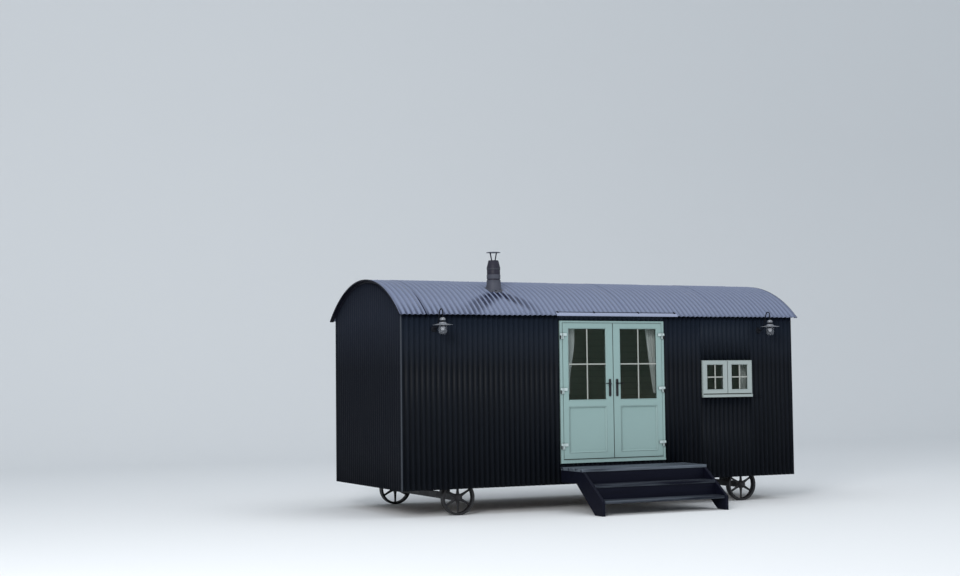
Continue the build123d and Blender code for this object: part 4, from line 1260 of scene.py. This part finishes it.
def hanging(x_outer, x_inner, x_tie, y_middle, top, bottom, folds, depth, gather):
    """A gathered curtain. u runs along the heading and v down it. The inner edge goes from x_inner at the top
    to x_tie at the bottom by the share gather(v); folds are a sine in u whose phase drifts and whose depth
    grows with v."""
    u = np.linspace(0, 1, folds * 14 + 1)
    v = np.linspace(0, 1, 40)

    def place(u, v):
        inner = x_inner + (x_tie - x_inner) * gather(v)
        x = x_outer + (inner - x_outer) * u
        drift = 0.9 * np.sin(2.1 * v + 4 * u)
        swing = np.sin(2 * np.pi * folds * u + drift) * (0.55 + 0.45 * v)
        small = 0.22 * np.sin(2 * np.pi * folds * 2.3 * u + 5 * v)
        y = y_middle + depth * (swing + small) / 1.25
        z = top + (bottom - top) * v - 0.012 * v * np.sin(np.pi * u)
        return np.stack([x, y, z], 2)

    return sheet_surface(u, v, place)


def surface_area(surface):
    """The area of a surface of quads: half the cross product of each quad's diagonals."""
    points, faces = surface
    corners = points[np.array(faces)]
    crossed = np.cross(corners[:, 2] - corners[:, 0], corners[:, 3] - corners[:, 1])
    return float(np.linalg.norm(crossed, axis=1).sum() / 2)


class HUT_OT_curtains(bpy.types.Operator):
    """Gathered curtains behind the glass and their rods"""

    bl_idname = "hut.curtains"
    bl_label = "Curtains"

    def execute(self, context):
        colours = context.scene.hut_colours
        fabric = cloth("curtain_weave", colours.curtain)
        rod = metal_paint("rod_metal", colours.rod, shade(colours.rod, 1.5), 0.35, 0.6)
        paint_nodes(rod, "curtain_rods")

        def swept(v):
            """No pull near the heading, then 3 t^2 - 2 t^3 down to the tie."""
            t = np.clip((v - 0.15) / 0.70, 0, 1)
            return t * t * (3 - 2 * t)

        left, right = (corner.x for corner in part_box("door_curtains"))
        inner, outer = (corner.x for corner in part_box("window_curtain"))
        for name, node, stands_for, edges, folds, gather in (
            ("left_door_curtain", "door_curtains", ["door_curtains"], (left, left + 0.312, left + 0.226), 7,
             swept),
            ("right_door_curtain", "door_curtains", [], (right, right - 0.174, right - 0.044), 5,
             lambda v: v**1.3),
            ("window_curtain_cloth", "window_curtain", ["window_curtain"], (outer, inner, outer - 0.138), 5,
             lambda v: v),
        ):
            low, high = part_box(node)
            y = middle_of(node).y
            points, faces = hanging(*edges, y, high.z, low.z + 0.012, folds, 0.021, gather)
            surface = (points, faces if edges[0] < edges[1] else faces[:, ::-1])
            made = piece(name, surface, fabric, stands_for, closed=False, smooth=180)
            area = surface_area(surface)
        return {"FINISHED"}


class HUT_OT_stage(bpy.types.Operator):
    """Floor and backdrop, soft light and the camera"""

    bl_idname = "hut.stage"
    bl_label = "Stage"

    def execute(self, context):
        colours = context.scene.hut_colours
        f = Finish("stage_paper", Specular_IOR_Level=0.1, Roughness=0.9)
        tone = f.ramp(f.noise(0.15, 2), (0.3, 0), (0.7, 1))
        material = f.done(f.mix(tone * 0.2, colours.ground, shade(colours.ground, 0.97)))
        bend = np.linspace(0, math.pi / 2, 17)
        curve = np.stack([14 + 10 * np.sin(bend), 10 - 10 * np.cos(bend)], 1)
        profile = np.concatenate([[(-60, 0)], curve, [(24, 40)]])

        def place(x, row):
            """A level floor that bends up into the backdrop along a quarter circle."""
            y, z = np.moveaxis(profile[row.astype(int)], 2, 0)
            return np.stack([x, y, z], 2)

        surface = sheet_surface(np.linspace(-230, 230, 9), np.arange(len(profile)), place)
        mesh = bpy.data.meshes.new("stage_floor")
        mesh.from_pydata(surface[0].tolist(), [], surface[1].tolist())
        mesh.shade_smooth()
        mesh.materials.append(material)
        floor = bpy.data.objects.new("stage_floor", mesh)
        context.scene.collection.objects.link(floor)

        world = bpy.data.worlds.new("soft_sky")
        world.use_nodes = True
        sky = world.node_tree.nodes["Background"].inputs
        sky["Color"].default_value = (0.86, 0.93, 1.0, 1)
        sky["Strength"].default_value = 0.72
        context.scene.world = world
        self.lamp("key", (-14, -15, 9), (0, 0.5, 1.5), 6, 2150)
        self.lamp("fill", (10, -16, 7), (0, 0, 1.5), 9, 330)
        self.lamp("top", (0, -1, 14), (0, 0.5, 2), 9, 450)

        yaw, pitch, roll = CAMERA_YAW, 0.0594, -0.0112
        level = math.cos(pitch)
        forward = np.array([math.sin(yaw) * level, math.cos(yaw) * level, math.sin(pitch)])
        right = np.array([math.cos(yaw), -math.sin(yaw), 0])
        up = np.cross(right, forward)
        across = right * math.cos(roll) + up * math.sin(roll)
        upward = -right * math.sin(roll) + up * math.cos(roll)
        data = bpy.data.cameras.new("camera")
        data.sensor_width = 36
        data.lens = 57.64
        data.clip_end = 300
        camera = bpy.data.objects.new("camera", data)
        context.scene.collection.objects.link(camera)
        place = (-10.734, -19.1455, 1.783)
        rows = [(*[float(v[i]) for v in (across, upward, -forward)], place[i]) for i in range(3)]
        camera.matrix_world = Matrix(rows + [(0, 0, 0, 1)])
        context.scene.camera = camera
        context.scene.view_settings.view_transform = "Standard"
        return {"FINISHED"}

    def lamp(self, name, place, target, size, power):
        """A square soft light that points at a target."""
        data = bpy.data.lights.new(name, "AREA")
        data.size = size
        data.energy = power
        lamp = bpy.data.objects.new(name, data)
        lamp.location = place
        lamp.visible_glossy = name != "fill"
        lamp.rotation_euler = (Vector(target) - Vector(place)).to_track_quat("-Z", "Y").to_euler()
        bpy.context.scene.collection.objects.link(lamp)


OPERATORS = (HUT_OT_wall_sheets, HUT_OT_roof_sheets, HUT_OT_trims, HUT_OT_door_frame, HUT_OT_door_leaves,
             HUT_OT_door_furniture, HUT_OT_window, HUT_OT_lamps, HUT_OT_flue, HUT_OT_steps,
             HUT_OT_running_gear, HUT_OT_inside, HUT_OT_curtains, HUT_OT_stage)


class HUT_PT_panel(bpy.types.Panel):
    """Lists the hut's builders"""

    bl_idname = "HUT_PT_panel"
    bl_label = "Shepherds hut"
    bl_space_type = "VIEW_3D"
    bl_region_type = "UI"
    bl_category = "Hut"

    def draw(self, context):
        for operator in OPERATORS:
            self.layout.operator(operator.bl_idname)
        for name in HutSizes.__annotations__:
            self.layout.prop(context.scene.hut_sizes, name)
        for name in HutColours.__annotations__:
            self.layout.prop(context.scene.hut_colours, name)


CLASSES = (HutSizes, HutColours, *OPERATORS, HUT_PT_panel)


def register():
    for item in CLASSES:
        bpy.utils.register_class(item)
    bpy.types.Scene.hut_sizes = bpy.props.PointerProperty(type=HutSizes)
    bpy.types.Scene.hut_colours = bpy.props.PointerProperty(type=HutColours)


def unregister():
    del bpy.types.Scene.hut_colours
    del bpy.types.Scene.hut_sizes
    for item in reversed(CLASSES):
        bpy.utils.unregister_class(item)


def plain(box):
    """A box as plain lists of numbers."""
    return [[float(value) for value in corner] for corner in box]


def main():
    register()
    for operator in OPERATORS:
        group, name = operator.bl_idname.split(".")
        getattr(getattr(bpy.ops, group), name)()


if __name__ == "__main__":
    main()
